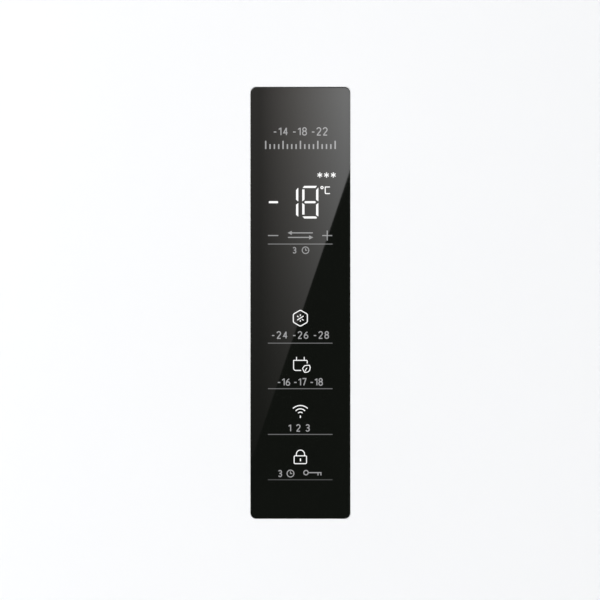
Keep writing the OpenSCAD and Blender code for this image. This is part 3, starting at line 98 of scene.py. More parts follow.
def math_node(owner, operation, a, b):
    """The outcome for a and b, each a number or an output."""
    node = add_node(owner, "ShaderNodeMath")
    node.operation = operation
    for i, value in enumerate((a, b)):
        if isinstance(value, (int, float)):
            node.inputs[i].default_value = value
        else:
            join(owner, value, node.inputs[i])
    return node.outputs[0]


def map_range(owner, value, low, high, to_low=0.0, to_high=1.0, kind="LINEAR"):
    """A value carried from the range low to high into the range to_low to to_high."""
    node = add_node(owner, "ShaderNodeMapRange")
    node.interpolation_type = kind
    set_inputs(node, {"From Min": low, "From Max": high, "To Min": to_low, "To Max": to_high})
    join(owner, value, node.inputs["Value"])
    return node.outputs["Result"]


def mix_surfaces(owner, factor, first, second, output):
    """Gives an output the first shader where factor is 0, and the second where it is 1."""
    mix = add_node(owner, "ShaderNodeMixShader")
    join(owner, factor, mix.inputs["Fac"])
    join(owner, first, mix.inputs[1])
    join(owner, second, mix.inputs[2])
    join(owner, mix.outputs[0], output.inputs["Surface"])


def object_space(material, stretch=(1, 1, 1)):
    """Object coordinates, scaled on each axis."""
    place = add_node(material, "ShaderNodeTexCoord")
    mapping = add_node(material, "ShaderNodeMapping", Scale=stretch)
    join(material, place.outputs["Object"], mapping.inputs["Vector"])
    return mapping.outputs["Vector"]


def noise(material, scale, detail=2.0, stretch=(1, 1, 1)):
    texture = add_node(material, "ShaderNodeTexNoise", Scale=scale, Detail=detail)
    join(material, object_space(material, stretch), texture.inputs["Vector"])
    return texture.outputs["Fac"]


def voronoi(material, scale):
    texture = add_node(material, "ShaderNodeTexVoronoi", Scale=scale)
    join(material, object_space(material), texture.inputs["Vector"])
    return texture


def blend_colors(material, shader, factor, low, high):
    """Base colour between two colours, by a noise."""
    ramp = add_node(material, "ShaderNodeValToRGB")
    stops = ramp.color_ramp.elements
    for i, (position, color) in enumerate(((NOISE_LOW, low), (NOISE_HIGH, high))):
        stops[i].position = position
        stops[i].color = (*color, 1)
    join(material, factor, ramp.inputs["Fac"])
    join(material, ramp.outputs["Color"], shader.inputs["Base Color"])


def blend_gloss(material, shader, factor, low, high):
    """Roughness between two values, by a noise."""
    gloss = map_range(material, factor, NOISE_LOW, NOISE_HIGH, low, high)
    join(material, gloss, shader.inputs["Roughness"])


def add_bump(material, shader, factor, height, strength=1.0):
    """Bump whose full swing is height, in metres."""
    bump = add_node(material, "ShaderNodeBump", Strength=strength, Distance=height)
    join(material, factor, bump.inputs["Height"])
    join(material, bump.outputs["Normal"], shader.inputs["Normal"])


def shade(color, factor):
    return tuple(min(1.0, channel * factor) for channel in color)


def surface(name, color, roughness, metallic=0.0, spread=0.03, patch=6.0, grain=900.0,
            height=0.00002, stretch=(1, 1, 1), **inputs):
    """A painted, moulded or metal surface: slow colour drift, uneven gloss and a fine relief.
    inputs are more of the shader's inputs, with an underscore for each space."""
    material, shader = new_material(name, color, roughness, metallic)
    drift = noise(material, patch, detail=3.0)
    blend_colors(material, shader, drift, shade(color, 1 - spread), shade(color, 1 + spread))
    gloss = noise(material, patch * GLOSS_FINER, detail=3.0)
    blend_gloss(material, shader, gloss, roughness * (1 - GLOSS_SWING),
                roughness * (1 + GLOSS_SWING))
    add_bump(material, shader, noise(material, grain, stretch=stretch), height)
    set_inputs(shader, {key.replace("_", " "): value for key, value in inputs.items()})
    return material


def galvanised():
    """Zinc-coated sheet: small pale crystals over a slow drift."""
    material, shader = new_material("galvanised", (0.58, 0.59, 0.60), 0.42, metallic=1.0)
    crystals = voronoi(material, 160.0).outputs["Color"]
    blend_colors(material, shader, crystals, (0.565, 0.575, 0.585), (0.60, 0.61, 0.62))
    blend_gloss(material, shader, noise(material, 7.0, detail=3.0), 0.38, 0.47)
    add_bump(material, shader, noise(material, 500.0, detail=3.0), 0.00002)
    return material


def brushed(name, color, roughness, stretch):
    """Metal with its grain stretched along one axis."""
    return surface(name, color, roughness, metallic=1.0, spread=0.05, patch=12.0, grain=700.0,
                   stretch=stretch)


def rubber(name, color, spread):
    return surface(name, color, 0.6, spread=spread, patch=15.0, grain=1200.0)


def cut_foam():
    """Rigid foam: small closed cells over a slow drift."""
    material, shader = new_material("cut_foam", (0.80, 0.70, 0.45), 0.9)
    cells = voronoi(material, 900.0).outputs["Distance"]
    drift = noise(material, 25.0, detail=4.0)
    blend_colors(material, shader, drift, (0.74, 0.62, 0.38), (0.86, 0.77, 0.52))
    add_bump(material, shader, cells, 0.0003)
    return material


def circuit_board():
    """Green solder mask over a faint net of copper tracks."""
    material, shader = new_material("circuit_board", (0.02, 0.12, 0.06), 0.3)
    tracks = add_node(material, "ShaderNodeTexBrick", Scale=160.0, Mortar=(0.05, 0.22, 0.11, 1),
                      Color1=(0.015, 0.10, 0.05, 1), Color2=(0.02, 0.13, 0.06, 1))
    set_inputs(tracks, {"Mortar Size": 0.04})
    turned = add_node(material, "ShaderNodeMapping", Rotation=(math.pi / 2, 0, 0))
    place = add_node(material, "ShaderNodeTexCoord")
    join(material, place.outputs["Object"], turned.inputs["Vector"])
    join(material, turned.outputs["Vector"], tracks.inputs["Vector"])
    join(material, tracks.outputs["Color"], shader.inputs["Base Color"])
    add_bump(material, shader, tracks.outputs["Fac"], 0.00003)
    return material


def panel_black(name, light=(0, 0, 0), strength=0.0):
    """Back-printed black glass; signs lit from behind add their own light under the same gloss,
    and so does the grey print, as a painted glow.
    """
    material, shader = new_material(name, (0.0057, 0.0066, 0.0053), 0.012)
    set_inputs(shader, {"IOR": 1.5, "Emission Color": (*light, 1), "Emission Strength": strength})
    smears = noise(material, 14.0, detail=4.0, stretch=(1, 1, 0.4))
    blend_gloss(material, shader, smears, 0.006, 0.03)
    add_bump(material, shader, noise(material, 40.0, detail=1.0), 0.000002, strength=0.3)
    return material


def let_light_through(material, shader, tint):
    """Lamps shine through clear plastic and glass, a little weaker."""
    path = add_node(material, "ShaderNodeLightPath")
    clear = add_node(material, "ShaderNodeBsdfTransparent", Color=(*tint, 1))
    mix_surfaces(material, path.outputs["Is Shadow Ray"], shader.outputs[0], clear.outputs[0],
                 material.node_tree.nodes["Material Output"])


def shelf_glass():
    """Tempered float glass, clear with a green edge."""
    material, shader = new_material("shelf_glass", (0.86, 0.95, 0.92), 0.03)
    set_inputs(shader, {"Transmission Weight": 0.95, "IOR": 1.5})
    blend_gloss(material, shader, noise(material, 20.0, detail=3.0), 0.02, 0.06)
    let_light_through(material, shader, (0.96, 0.972, 0.968))
    return material


def clear_plastic():
    """Drawer polystyrene: clear, a little blue, with moulding flow in its gloss."""
    material, shader = new_material("clear_plastic", (0.91, 0.955, 0.98), 0.07)
    set_inputs(shader, {"Transmission Weight": 0.93, "IOR": 1.45})
    flow = noise(material, 9.0, detail=4.0, stretch=(1, 1, 3))
    blend_gloss(material, shader, flow, 0.05, 0.12)
    add_bump(material, shader, noise(material, 700.0), 0.00002)
    let_light_through(material, shader, (0.96, 0.97, 0.975))
    return material


MATERIALS = {
    # Powder-coated sheet: almost flat white with a faint orange peel
    "white_paint": surface("white_paint", (0.915, 0.922, 0.935), 0.36, spread=0.004, patch=3.0,
                           grain=420.0, height=0.000012, Coat_Weight=0.15, Coat_Roughness=0.2),
    "white_moulding": surface("white_moulding", (0.90, 0.905, 0.91), 0.42, spread=0.01,
                              grain=1600.0),
    "liner_plastic": surface("liner_plastic", (0.82, 0.825, 0.83), 0.24, spread=0.008, patch=4.0,
                             grain=60.0, height=0.00006, Coat_Weight=0.3),
    "grey_moulding": surface("grey_moulding", (0.30, 0.31, 0.32), 0.5, spread=0.05, grain=1500.0,
                             height=0.00003),
    "black_moulding": surface("black_moulding", (0.018, 0.018, 0.02), 0.45, spread=0.1,
                              grain=1500.0, height=0.00003),
    "black_enamel": surface("black_enamel", (0.012, 0.012, 0.013), 0.3, spread=0.15, patch=20.0,
                            grain=350.0, height=0.00004, Coat_Weight=0.4),
    "galvanised": galvanised(),
    "steel": brushed("steel", (0.60, 0.61, 0.62), 0.33, (1, 1, 8)),
    "aluminium": brushed("aluminium", (0.78, 0.79, 0.80), 0.3, (6, 1, 1)),
    "copper": surface("copper", (0.78, 0.36, 0.22), 0.28, metallic=1.0, spread=0.12,
                      patch=30.0, grain=500.0),
    "black_rubber": rubber("black_rubber", (0.02, 0.02, 0.021), 0.06),
    "seal_rubber": rubber("seal_rubber", (0.64, 0.65, 0.66), 0.012),
    "foam": cut_foam(),
    "circuit_board": circuit_board(),
    "panel_black": panel_black("panel_black"),
    "shelf_glass": shelf_glass(),
    "clear_plastic": clear_plastic(),
    "lamp_cover": surface("lamp_cover", (0.92, 0.93, 0.92), 0.5, spread=0.01, grain=1400.0,
                          Emission_Color=(1.0, 0.98, 0.94, 1), Emission_Strength=0.5),
    # The drawers' thicker rims: the same plastic, milky where it is thick
    "frosted_rim": surface("frosted_rim", (0.80, 0.875, 0.91), 0.3, spread=0.02, patch=12.0,
                           Transmission_Weight=0.35, IOR=1.45),
}

NODE_MATERIALS = {
    "white_paint": ["side_panel_left", "side_panel_right", "top_panel", "front_crossrails",
                    "door_skin"],
    "white_moulding": ["kick_plate", "hinge_cover", "door_cap_top", "door_cap_bottom",
                       "door_grip", "shelf_trims", "evaporator_fan", "light_guide",
                       "evaporation_tray"],
    "liner_plastic": ["inner_liner", "door_liner", "evaporator_cover"],
    "grey_moulding": ["control_box", "evaporator_fan_frame", "hinge_bushes", "panel_housing",
                      "roller_left", "roller_right", "foot_left", "foot_right", "condenser_fan"],
    "black_moulding": ["relay_box", "condenser_fan_frame", "mains_gland", "panel_carrier"],
    "galvanised": ["back_panel", "base_frame", "compressor_plate", "machine_cover"],
    "steel": ["compressor_bolts", "top_hinge", "bottom_hinge"],
    "black_enamel": ["compressor", "condenser_coil"],
    "foam": ["cabinet_foam", "door_foam"],
    "copper": ["refrigerant_lines", "filter_drier"],
    "aluminium": ["evaporator_coil", "evaporator_fins", "defrost_heater"],
    "black_rubber": ["compressor_grommets", "touch_pads"],
    "shelf_glass": ["glass_shelves"],
    "clear_plastic": DRAWERS,
    "lamp_cover": ["interior_light"],
    "circuit_board": ["control_board", "display_board"],
}

# Nodes with rounded edges, by the width of the rounding in millimetres
EDGES = {
    0.4: ["glass_shelves", "hinge_bushes", "bottom_hinge", "top_hinge"],
    0.5: ["shelf_trims", "foot_left", "foot_right", "roller_left", "roller_right", "mains_gland"],
    0.6: ["door_grip", "evaporation_tray"],
    0.8: ["kick_plate", "control_box"] + DRAWERS,
    1.0: ["door_cap_top", "door_cap_bottom", "door_liner"],
    1.2: ["hinge_cover", "interior_light", "relay_box"],
}
EDGE_WELD = 0.000005       # metres within which a node's points are welded first
EDGE_SEGMENTS = 2          # flat steps across a rounding
EDGE_ANGLE = 38            # edges that turn more than this, in degrees, are rounded


def dress_nodes():
    for material, names in NODE_MATERIALS.items():
        for name in names:
            for material_slot in nodes[name].material_slots:
                material_slot.material = MATERIALS[material]


def round_edges(node, width):
    """A narrow bevel on a node's edges."""
    node.modifiers.new("weld", "WELD").merge_threshold = EDGE_WELD
    bevel = node.modifiers.new("round_edges", "BEVEL")
    bevel.width = width * MM
    bevel.segments = EDGE_SEGMENTS
    bevel.limit_method = "ANGLE"
    bevel.angle_limit = math.radians(EDGE_ANGLE)
    bevel.use_clamp_overlap = True
    node.modifiers.new("even_normals", "WEIGHTED_NORMAL").keep_sharp = True


# Shapes

def link_mesh(name, mesh, material):
    """An object in the scene from a bmesh."""
    data = bpy.data.meshes.new(name)
    mesh.to_mesh(data)
    mesh.free()
    data.materials.append(material)
    thing = bpy.data.objects.new(name, data)
    bpy.context.scene.collection.objects.link(thing)
    return thing


def piece(name, mesh, material, body):
    """An object from a bmesh, riding on a body."""
    bmesh.ops.recalc_face_normals(mesh, faces=mesh.faces)
    thing = link_mesh(name, mesh, material)
    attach(thing, body)
    return thing


def smooth_piece(name, mesh, material, body, smooth_angle):
    """A piece with smooth shading, but for edges that turn more than the angle."""
    thing = piece(name, mesh, material, body)
    for polygon in thing.data.polygons:
        polygon.use_smooth = True
    thing.data.set_sharp_from_angle(angle=math.radians(smooth_angle))
    return thing


def join_rows(mesh, pairs):
    """Faces between each pair of closed rows of points."""
    for a, b in pairs:
        for i in range(len(a)):
            j = (i + 1) % len(a)
            mesh.faces.new([a[i], a[j], b[j], b[i]])


def around(x, z, radius, turn):
    """The point of a circle at a turn, in degrees from +x."""
    turn = math.radians(turn)
    return (x + radius * math.cos(turn), z + radius * math.sin(turn))


def arc(x, z, radius, start, end, steps=16):
    """Points along an arc, from one turn to another."""
    return [around(x, z, radius, start + (end - start) * i / steps) for i in range(steps + 1)]


def ring(x, z, radius, steps=24):
    return arc(x, z, radius, 0, 360, steps)[:-1]


def rounded(x0, x1, z0, z1, radius, steps=5):
    """A rectangle with round corners, anticlockwise."""
    points = []
    for x, z, start in ((x1 - radius, z0 + radius, -90), (x1 - radius, z1 - radius, 0),
                        (x0 + radius, z1 - radius, 90), (x0 + radius, z0 + radius, 180)):
        points += arc(x, z, radius, start, start + 90, steps)
    return points


# Fittings that stand for plain CAD nodes, or add to them

def gasket_profile(band, depth):
    """The seal's section in millimetres: flange, two pleats, and a flat magnet strip."""
    side = [(0.0, 0.0), (0.0, 1.1), (0.25, 1.35), (2.6, 1.5)]
    pleat_low, pleat_high, steps = 1.8, depth - 3.1, 16
    for i in range(steps + 1):
        swing = math.cos(4 * math.pi * i / steps)
        side.append((2.2 + 1.1 * swing, pleat_low + (pleat_high - pleat_low) * i / steps))
    side += [(1.6, depth - 2.75), (1.15, depth - 2.5), (1.0, depth - 2.1), (1.0, depth - 0.5),
             (1.15, depth - 0.15), (1.6, depth)]
    return side + [(band - u, v) for u, v in side[::-1]]


def door_gasket():
    """The seal swept round the door, with mitred corners."""
    band = 20.0            # the seal's width in millimetres
    low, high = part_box("door_seal")
    mesh = bmesh.new()
    rows = []
    for u, v in gasket_profile(band, (high.y - low.y) / MM):
        u, y = u * MM, low.y + v * MM
        corners = ((low.x + u, low.z + u), (high.x - u, low.z + u),
                   (high.x - u, high.z - u), (low.x + u, high.z - u))
        rows.append([mesh.verts.new((x, y, z)) for x, z in corners])
    join_rows(mesh, zip(rows[-1:] + rows[:-1], rows))
    gasket = smooth_piece("door_gasket", mesh, MATERIALS["seal_rubber"], "door",
                          smooth_angle=50.0)
    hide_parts("door_seal")


def islands(node):
    """The separate solids of a node, each as a list of its points."""
    same_point = 0.000002
    mesh = bmesh.new()
    mesh.from_mesh(node.data)
    bmesh.ops.remove_doubles(mesh, verts=mesh.verts, dist=same_point)
    left, found = set(mesh.verts), []
    while left:
        queue, group = [left.pop()], []
        while queue:
            vert = queue.pop()
            group.append(vert.co.copy())
            for edge in vert.link_edges:
                other = edge.other_vert(vert)
                if other in left:
                    left.discard(other)
                    queue.append(other)
        found.append(group)
    mesh.free()
    return found


SCREW_HEAD = 1.8 * MM      # height of a screw's head
HEAD_TO_SHANK = 2.1        # a screw's head against its shank


def add_screw(mesh, place, radius, length):
    """A domed screw with a cross recess; place turns +Z of its head outward."""
    count, shank = 24, radius / HEAD_TO_SHANK
    profile = [(shank * 0.55, -length), (shank, -length + shank), (shank, 0), (radius * 0.97, 0)]
    profile += [(radius * across, SCREW_HEAD * up) for across, up in
                ((1.0, 0.12), (1.0, 0.42), (0.93, 0.68), (0.78, 0.88), (0.6, 0.98))]
    turns = [2 * math.pi * i / count for i in range(count)]
    rings = [[mesh.verts.new(place @ Vector((r * math.cos(t), r * math.sin(t), z)))
              for t in turns] for r, z in profile]
    mesh.faces.new(rings[0][::-1])
    join_rows(mesh, zip(rings, rings[1:]))
    wide, thin = radius * 0.5, radius * 0.11
    outline = [(wide, -thin), (wide, thin), (thin, thin), (thin, wide), (-thin, wide),
               (-thin, thin), (-wide, thin), (-wide, -thin), (-thin, -thin), (-thin, -wide),
               (thin, -wide), (thin, -thin)]
    top = [mesh.verts.new(place @ Vector((x, y, SCREW_HEAD))) for x, y in outline]
    foot = [mesh.verts.new(place @ Vector((x * 0.45, y * 0.7, SCREW_HEAD * 0.25)))
            for x, y in outline]
    join_rows(mesh, [(foot, top)])
    mesh.faces.new(foot)
    loop = [mesh.edges.get((row[i - 1], row[i])) for row in (top, rings[-1])
            for i in range(len(row))]
    bmesh.ops.triangle_fill(mesh, edges=loop, use_beauty=True)


def screw_set():
    """Every screw of the CAD node again, with a domed head and its recess."""
    mesh = bmesh.new()
    for points in islands(nodes["screws"]):
        low = Vector([min(p[i] for p in points) for i in range(3)])
        high = Vector([max(p[i] for p in points) for i in range(3)])
        size = high - low
        axis = max(range(3), key=lambda i: size[i])
        middle = (low + high) / 2
        others = [i for i in range(3) if i != axis]
        radius = size[others[0]] / 2
        # The head is at the high end if the points there reach as far out as the head does
        at_high = max((Vector([p[i] - middle[i] for i in others]).length for p in points
                       if high[axis] - p[axis] < NEAR), default=0)
        out = 1 if at_high > radius * 0.8 else -1
        direction = Vector([out if i == axis else 0 for i in range(3)])
        head_seat = middle + direction * (size[axis] / 2 - SCREW_HEAD)
        turned = direction.to_track_quat("Z", "Y").to_matrix().to_4x4()
        add_screw(mesh, Matrix.Translation(head_seat) @ turned, radius, size[axis] - SCREW_HEAD)
    screws = smooth_piece("screw_set", mesh, MATERIALS["steel"], "cabinet",
                          smooth_angle=35.0)
    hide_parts("screws")


def add_tube(mesh, points, radius, sides=8):
    """A closed tube along points."""
    count = len(points)
    rings = []
    for i in range(count):
        here = Vector(points[i])
        ahead = (Vector(points[(i + 1) % count]) - Vector(points[i - 1])).normalized()
        level = Vector((0, 0, 1)) if abs(ahead.z) < 0.9 else Vector((0, 1, 0))
        across = ahead.cross(level).normalized()
        up = across.cross(ahead)
        rings.append([mesh.verts.new(here + radius * (math.cos(t) * across + math.sin(t) * up))
                      for t in (2 * math.pi * s / sides for s in range(sides))])
    for i in range(count):
        a, b = rings[i - 1], rings[i]
        shift = min(range(sides), key=lambda s: (a[0].co - b[s].co).length)
        join_rows(mesh, [(a, b[shift:] + b[:shift])])


def drawer_rims():
    """A thicker rim along each drawer's mouth, lower at its sides than at its front."""
    pull_reach, corner, inset, radius = 13 * MM, 32 * MM, 1.25 * MM, 1.7 * MM
    front_drop, side_drop = 0.6 * MM, 26 * MM
    for drawer in DRAWERS:
        low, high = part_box(drawer)
        front = low.y + pull_reach
        outline = rounded(low.x + inset, high.x - inset, front + inset, high.y - inset,
                          corner - inset, steps=6)
        step_y = front + corner + NEAR
        mesh = bmesh.new()
        add_tube(mesh, [(x, y, high.z - (front_drop if y <= step_y else side_drop))
                        for x, y in outline], radius)
        smooth_piece(drawer.replace("drawer", "drawer_rim"), mesh, MATERIALS["frosted_rim"],
                     drawer, smooth_angle=60.0)


# The panel's glass and its bead, in millimetres

GLASS_CORNER = 2.7


def panel_band(mesh, steps, left=0.0, right=0.0, low=0.0, high=0.0):
    """Rows of points round the panel, one for each step of (how far past the glass's edge, y).
    left, right, low and high widen the outline on those sides."""
    rows = []
    for grow, y in steps:
        half_w, half_h = panel_w / 2 / MM + grow, panel_h / 2 / MM + grow
        outline = rounded(-half_w - left, half_w + right, -half_h - low, half_h + high,
                          GLASS_CORNER + grow, steps=8)
        rows.append([mesh.verts.new((panel_x + x * MM, y, panel_z + z * MM))
                     for x, z in outline])
    return rows


def touch_glass():
    """The panel's glass, a hair proud of the door's sheet, with a fine bevel, wider at its top.
    It is a little wider than the solid, because the photo shows no slit round it."""
    bevel, top_bevel = 0.04, 0.5
    left, right, low, high = 0.10, 0.04, 0.16, 0.07
    mesh = bmesh.new()
    rows = panel_band(mesh, [(-bevel, face_y)], left, right, low, high + bevel - top_bevel)
    rows += panel_band(mesh, [(0, skin_y), (0, glass_high.y)], left, right, low, high)
    join_rows(mesh, zip(rows, rows[1:]))
    mesh.faces.new(rows[0])
    mesh.faces.new(rows[-1][::-1])
    glass = smooth_piece("touch_glass", mesh, MATERIALS["panel_black"], "door",
                         smooth_angle=12.0)
    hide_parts("panel_glass")


def glass_bead():
    """White bead in the slit between the panel's glass and the door's sheet."""
    slit, overlap, sunk, depth = 0.3, 0.06, 0.03, 0.5
    mesh = bmesh.new()
    front, back = skin_y + sunk * MM, skin_y + depth * MM
    rows = panel_band(mesh, ((slit, front), (slit, back), (-overlap, back), (-overlap, front)))
    join_rows(mesh, zip(rows, rows[1:] + rows[:1]))
    smooth_piece("glass_bead", mesh, MATERIALS["white_moulding"], "door",
                 smooth_angle=30.0)


# Signs behind the panel's glass. Their sizes are in millimetres, x to the right and z up from
# the panel's middle, and each is a thin plate on the glass with the same gloss.

SIGN_T = 0.02
COOL = (0.98, 0.98, 1.0)
WHITE = panel_black("sign_white", (1, 1, 1), 1.0)
ICON = panel_black("sign_icon", (1, 1, 1), 1.0)
# The numbers, grey signs and key lines are print; their glow at these set strengths is painted
# light.
NUMBER = panel_black("sign_number", COOL, 0.36)
GREY = panel_black("sign_grey", COOL, 0.30)
LINE = panel_black("sign_line", COOL, 0.20)
DIM = panel_black("sign_dim", COOL, 0.155)
FAINT = panel_black("sign_faint", COOL, 0.08)


def on_glass(x, z, front):
    """A sign's corner, on the front or the back of its plate."""
    return (panel_x + x * MM, face_y - (SIGN_T if front else -SIGN_T) * MM, panel_z + z * MM)


def add_loop(mesh, points):
    """A closed plate from one outline, drawn anticlockwise as seen from the front."""
    front = [mesh.verts.new(on_glass(x, z, True)) for x, z in points]
    back = [mesh.verts.new(on_glass(x, z, False)) for x, z in points]
    mesh.faces.new(front)
    mesh.faces.new(back[::-1])
    join_rows(mesh, [(back, front)])


def add_box(mesh, left, right, low, high):
    add_loop(mesh, [(left, low), (right, low), (right, high), (left, high)])


def offset_points(points, half, closed):
    """The two sides of a stroke along points, mitred at its corners."""
    count, sharpest = len(points), 0.4
    left, right = [], []
    for i in range(count):
        before = points[i - 1] if closed or i > 0 else None
        after = points[(i + 1) % count] if closed or i < count - 1 else None
        here = Vector(points[i])
        ahead = (Vector(after) - here).normalized() if after else None
        behind = (here - Vector(before)).normalized() if before else None
        ahead, behind = ahead or behind, behind or ahead
        normal = Vector((-(ahead.y + behind.y), ahead.x + behind.x)).normalized()
        reach = half / max(sharpest, normal.dot(Vector((-ahead.y, ahead.x))))
        left.append(here + normal * reach)
        right.append(here - normal * reach)
    return left, right


def add_stroke(mesh, points, width, closed=False):
    """A line of even width as one closed strip."""
    left, right = offset_points(points, width / 2, closed)
    rows = [[mesh.verts.new(on_glass(p.x, p.y, front)) for p in side]
            for side, front in ((left, True), (right, True), (right, False), (left, False))]
    steps = len(points) if closed else len(points) - 1
    for i in range(steps):
        j = (i + 1) % len(points)
        for a, b in ((0, 1), (1, 2), (2, 3), (3, 0)):
            mesh.faces.new([rows[a][i], rows[b][i], rows[b][j], rows[a][j]])
    if not closed:
        mesh.faces.new([rows[k][0] for k in (3, 2, 1, 0)])
        mesh.faces.new([rows[k][-1] for k in (0, 1, 2, 3)])


def sign(name, material, draw, *values):
    """A piece of the panel's signs; draw adds its plates to a bmesh."""
    mesh = bmesh.new()
    draw(mesh, *values)
    piece(name, mesh, material, "door")


# The temperature: minus, 1, 8, degrees C

UPRIGHT_T = 1.0       # thickness of a digit's upright bars
LEVEL_T = 0.94        # thickness of its level bars
DIGIT_LOW, DIGIT_HIGH = 38.05, 52.78
DIGIT_MIDDLE = 45.42
EIGHT_LEFT, EIGHT_RIGHT = 0.82, 8.09
ONE_LEFT = -1.97
MINUS_LEFT, MINUS_RIGHT = -14.3, -10.08
SHORT_IN = 0.36       # from the middle to an upright bar's longer side
LONG_IN = 1.12        # from the middle to its shorter side


def upright_bar(mesh, left, left_span, right_span):
    """One upright bar; each span holds that side's low and high end."""
    right = left + UPRIGHT_T
    add_loop(mesh, [(left, left_span[0]), (right, right_span[0]),
                    (right, right_span[1]), (left, left_span[1])])


def right_bars(mesh, left):
    """The two bars at a digit's right, with their left corners cut off."""
    low, high = DIGIT_LOW + 0.85, DIGIT_HIGH - 0.82
    low_cut, high_cut = 0.7875, 1.05
    upright_bar(mesh, left, (DIGIT_MIDDLE + LONG_IN, high - high_cut),
                (DIGIT_MIDDLE + SHORT_IN, high))
    upright_bar(mesh, left, (low + low_cut, DIGIT_MIDDLE - LONG_IN),
                (low, DIGIT_MIDDLE - SHORT_IN))


def draw_eight(mesh):
    right_bars(mesh, EIGHT_RIGHT - UPRIGHT_T)
    low, high = DIGIT_LOW + 1.78, DIGIT_HIGH - 1.6
    upright_bar(mesh, EIGHT_LEFT, (DIGIT_MIDDLE + SHORT_IN, high), (DIGIT_MIDDLE + LONG_IN, high))
    upright_bar(mesh, EIGHT_LEFT, (low, DIGIT_MIDDLE - SHORT_IN), (low, DIGIT_MIDDLE - LONG_IN))
    left, right = EIGHT_LEFT + 0.12, EIGHT_RIGHT - 0.62
    slope, right_slope, cut_x, cut_z = 0.85, 0.7, 0.25, 0.5
    inner = DIGIT_HIGH - LEVEL_T
    add_loop(mesh, [(left, inner), (right - right_slope, inner), (right, DIGIT_HIGH),
                    (left + slope, DIGIT_HIGH)])
    inner = DIGIT_LOW + LEVEL_T
    add_loop(mesh, [(left + slope, DIGIT_LOW), (right - cut_x, DIGIT_LOW),
                    (right, DIGIT_LOW + cut_z), (right - right_slope, inner), (left, inner)])
    half, tip = LEVEL_T / 2, 0.3
    low, high = DIGIT_MIDDLE - half, DIGIT_MIDDLE + half
    left, right = EIGHT_LEFT + 0.95, EIGHT_RIGHT - 1.15
    add_loop(mesh, [(left + tip, low), (right - tip, low), (right, DIGIT_MIDDLE),
                    (right - tip, high), (left + tip, high), (left, DIGIT_MIDDLE)])


def draw_minus(mesh):
    half, corner = 0.47, 0.35
    add_loop(mesh, rounded(MINUS_LEFT, MINUS_RIGHT, DIGIT_MIDDLE - half, DIGIT_MIDDLE + half,
                           corner))


def draw_degrees(mesh):
    """A small ring and a squared C."""
    stroke, corner = 0.44, 0.4
    add_stroke(mesh, ring(9.74, 52.0, 0.5), stroke, True)
    left, right, low, high = 11.2, 13.3, 49.3, 52.28
    turn = arc(left + corner, low + corner, corner, 180, 270, 4)
    add_stroke(mesh, [(right, high), (left, high)] + turn + [(right, low)], stroke)


def draw_snow_stars(mesh):
    """Three six-armed stars, as on a freezer's rating."""
    z, reach, stroke = 57.7, 1.2, 0.4
    for x in (8.75, 11.8, 14.85):
        for turn in (30, 90, 150):
            add_stroke(mesh, arc(x, z, reach, turn, turn + 180, 1), stroke)


# Keys

KEY_LINE_LEFT, KEY_LINE_RIGHT = -14.7, 14.5
KEY_LINE_T = 0.38
KEY_LINES = ((26.5, LINE), (-18.29, DIM), (-38.86, DIM), (-59.52, DIM), (-80.0, FAINT))
KEYS_Z = 30.34        # height of the minus and plus keys
CROSS_X = 12.1        # middle of the plus
CROSS_HALF = 2.26


def draw_key_line(mesh, z):
    half = KEY_LINE_T / 2
    add_box(mesh, KEY_LINE_LEFT, KEY_LINE_RIGHT, z - half, z + half)


def draw_plus_minus(mesh):
    stroke = 0.48
    for left, right in ((-14.66, -10.0), (CROSS_X - CROSS_HALF, CROSS_X + CROSS_HALF)):
        add_stroke(mesh, [(left, KEYS_Z), (right, KEYS_Z)], stroke)
    for start, end in ((CROSS_HALF, stroke / 2), (-stroke / 2, -CROSS_HALF)):
        add_stroke(mesh, [(CROSS_X, KEYS_Z + start), (CROSS_X, KEYS_Z + end)], stroke)


def draw_both_ways(mesh):
    """An arrow to each side, for the key that changes over."""
    stroke, head_length, head_half = 0.5, 1.9, 0.95
    for z, tip, tail in ((31.55, -5.8, 5.6), (29.5, 5.8, -5.6)):
        inner = tip + math.copysign(head_length, tail)
        add_stroke(mesh, [(tail, z), (inner, z)], stroke)
        head = [(tip, z), (inner, z - head_half), (inner, z + head_half)]
        add_loop(mesh, head if tip < 0 else [head[0], head[2], head[1]])


def draw_clock(mesh, x, z, radius):
    rim, hand = 0.42, 0.38
    add_stroke(mesh, ring(x, z, radius), rim, True)
    add_stroke(mesh, [(x, z + radius * 0.62), (x, z), (x + radius * 0.5, z)], hand)


def draw_key(mesh, x, z):
    """A small key: bow, shaft and two teeth."""
    stroke = 0.45
    add_stroke(mesh, ring(x - 3.1, z, 1.0), stroke, True)
    add_stroke(mesh, [(x - 1.9, z), (x + 3.9, z)], stroke)
    for tooth in (2.35, 3.65):
        add_stroke(mesh, [(x + tooth, z - 0.2), (x + tooth, z - 1.25)], stroke)


ICON_T = 0.40         # stroke of the icons


def draw_hexagon(mesh):
    """Hexagon round a snow crystal of one long stroke and four short arms."""
    x, z, radius, cut, crystal_t = -0.04, -7.0, 3.66, 0.35, 0.42
    corners = []
    for turn in range(30, 390, 60):
        corner = around(x, z, radius, turn)
        corners += [around(*corner, cut, turn + 180 + side) for side in (60, -60)]
    add_stroke(mesh, corners, ICON_T + 0.04, True)
    for ends in (((-1.45, -7.85), (1.42, -6.03)), ((-1.5, -6.02), (-0.86, -6.48)),
                 ((0.64, -7.42), (1.44, -7.95)), ((x, -5.3), (x, -6.08)), ((x, -7.84), (x, -8.6))):
        add_stroke(mesh, ends, crystal_t)


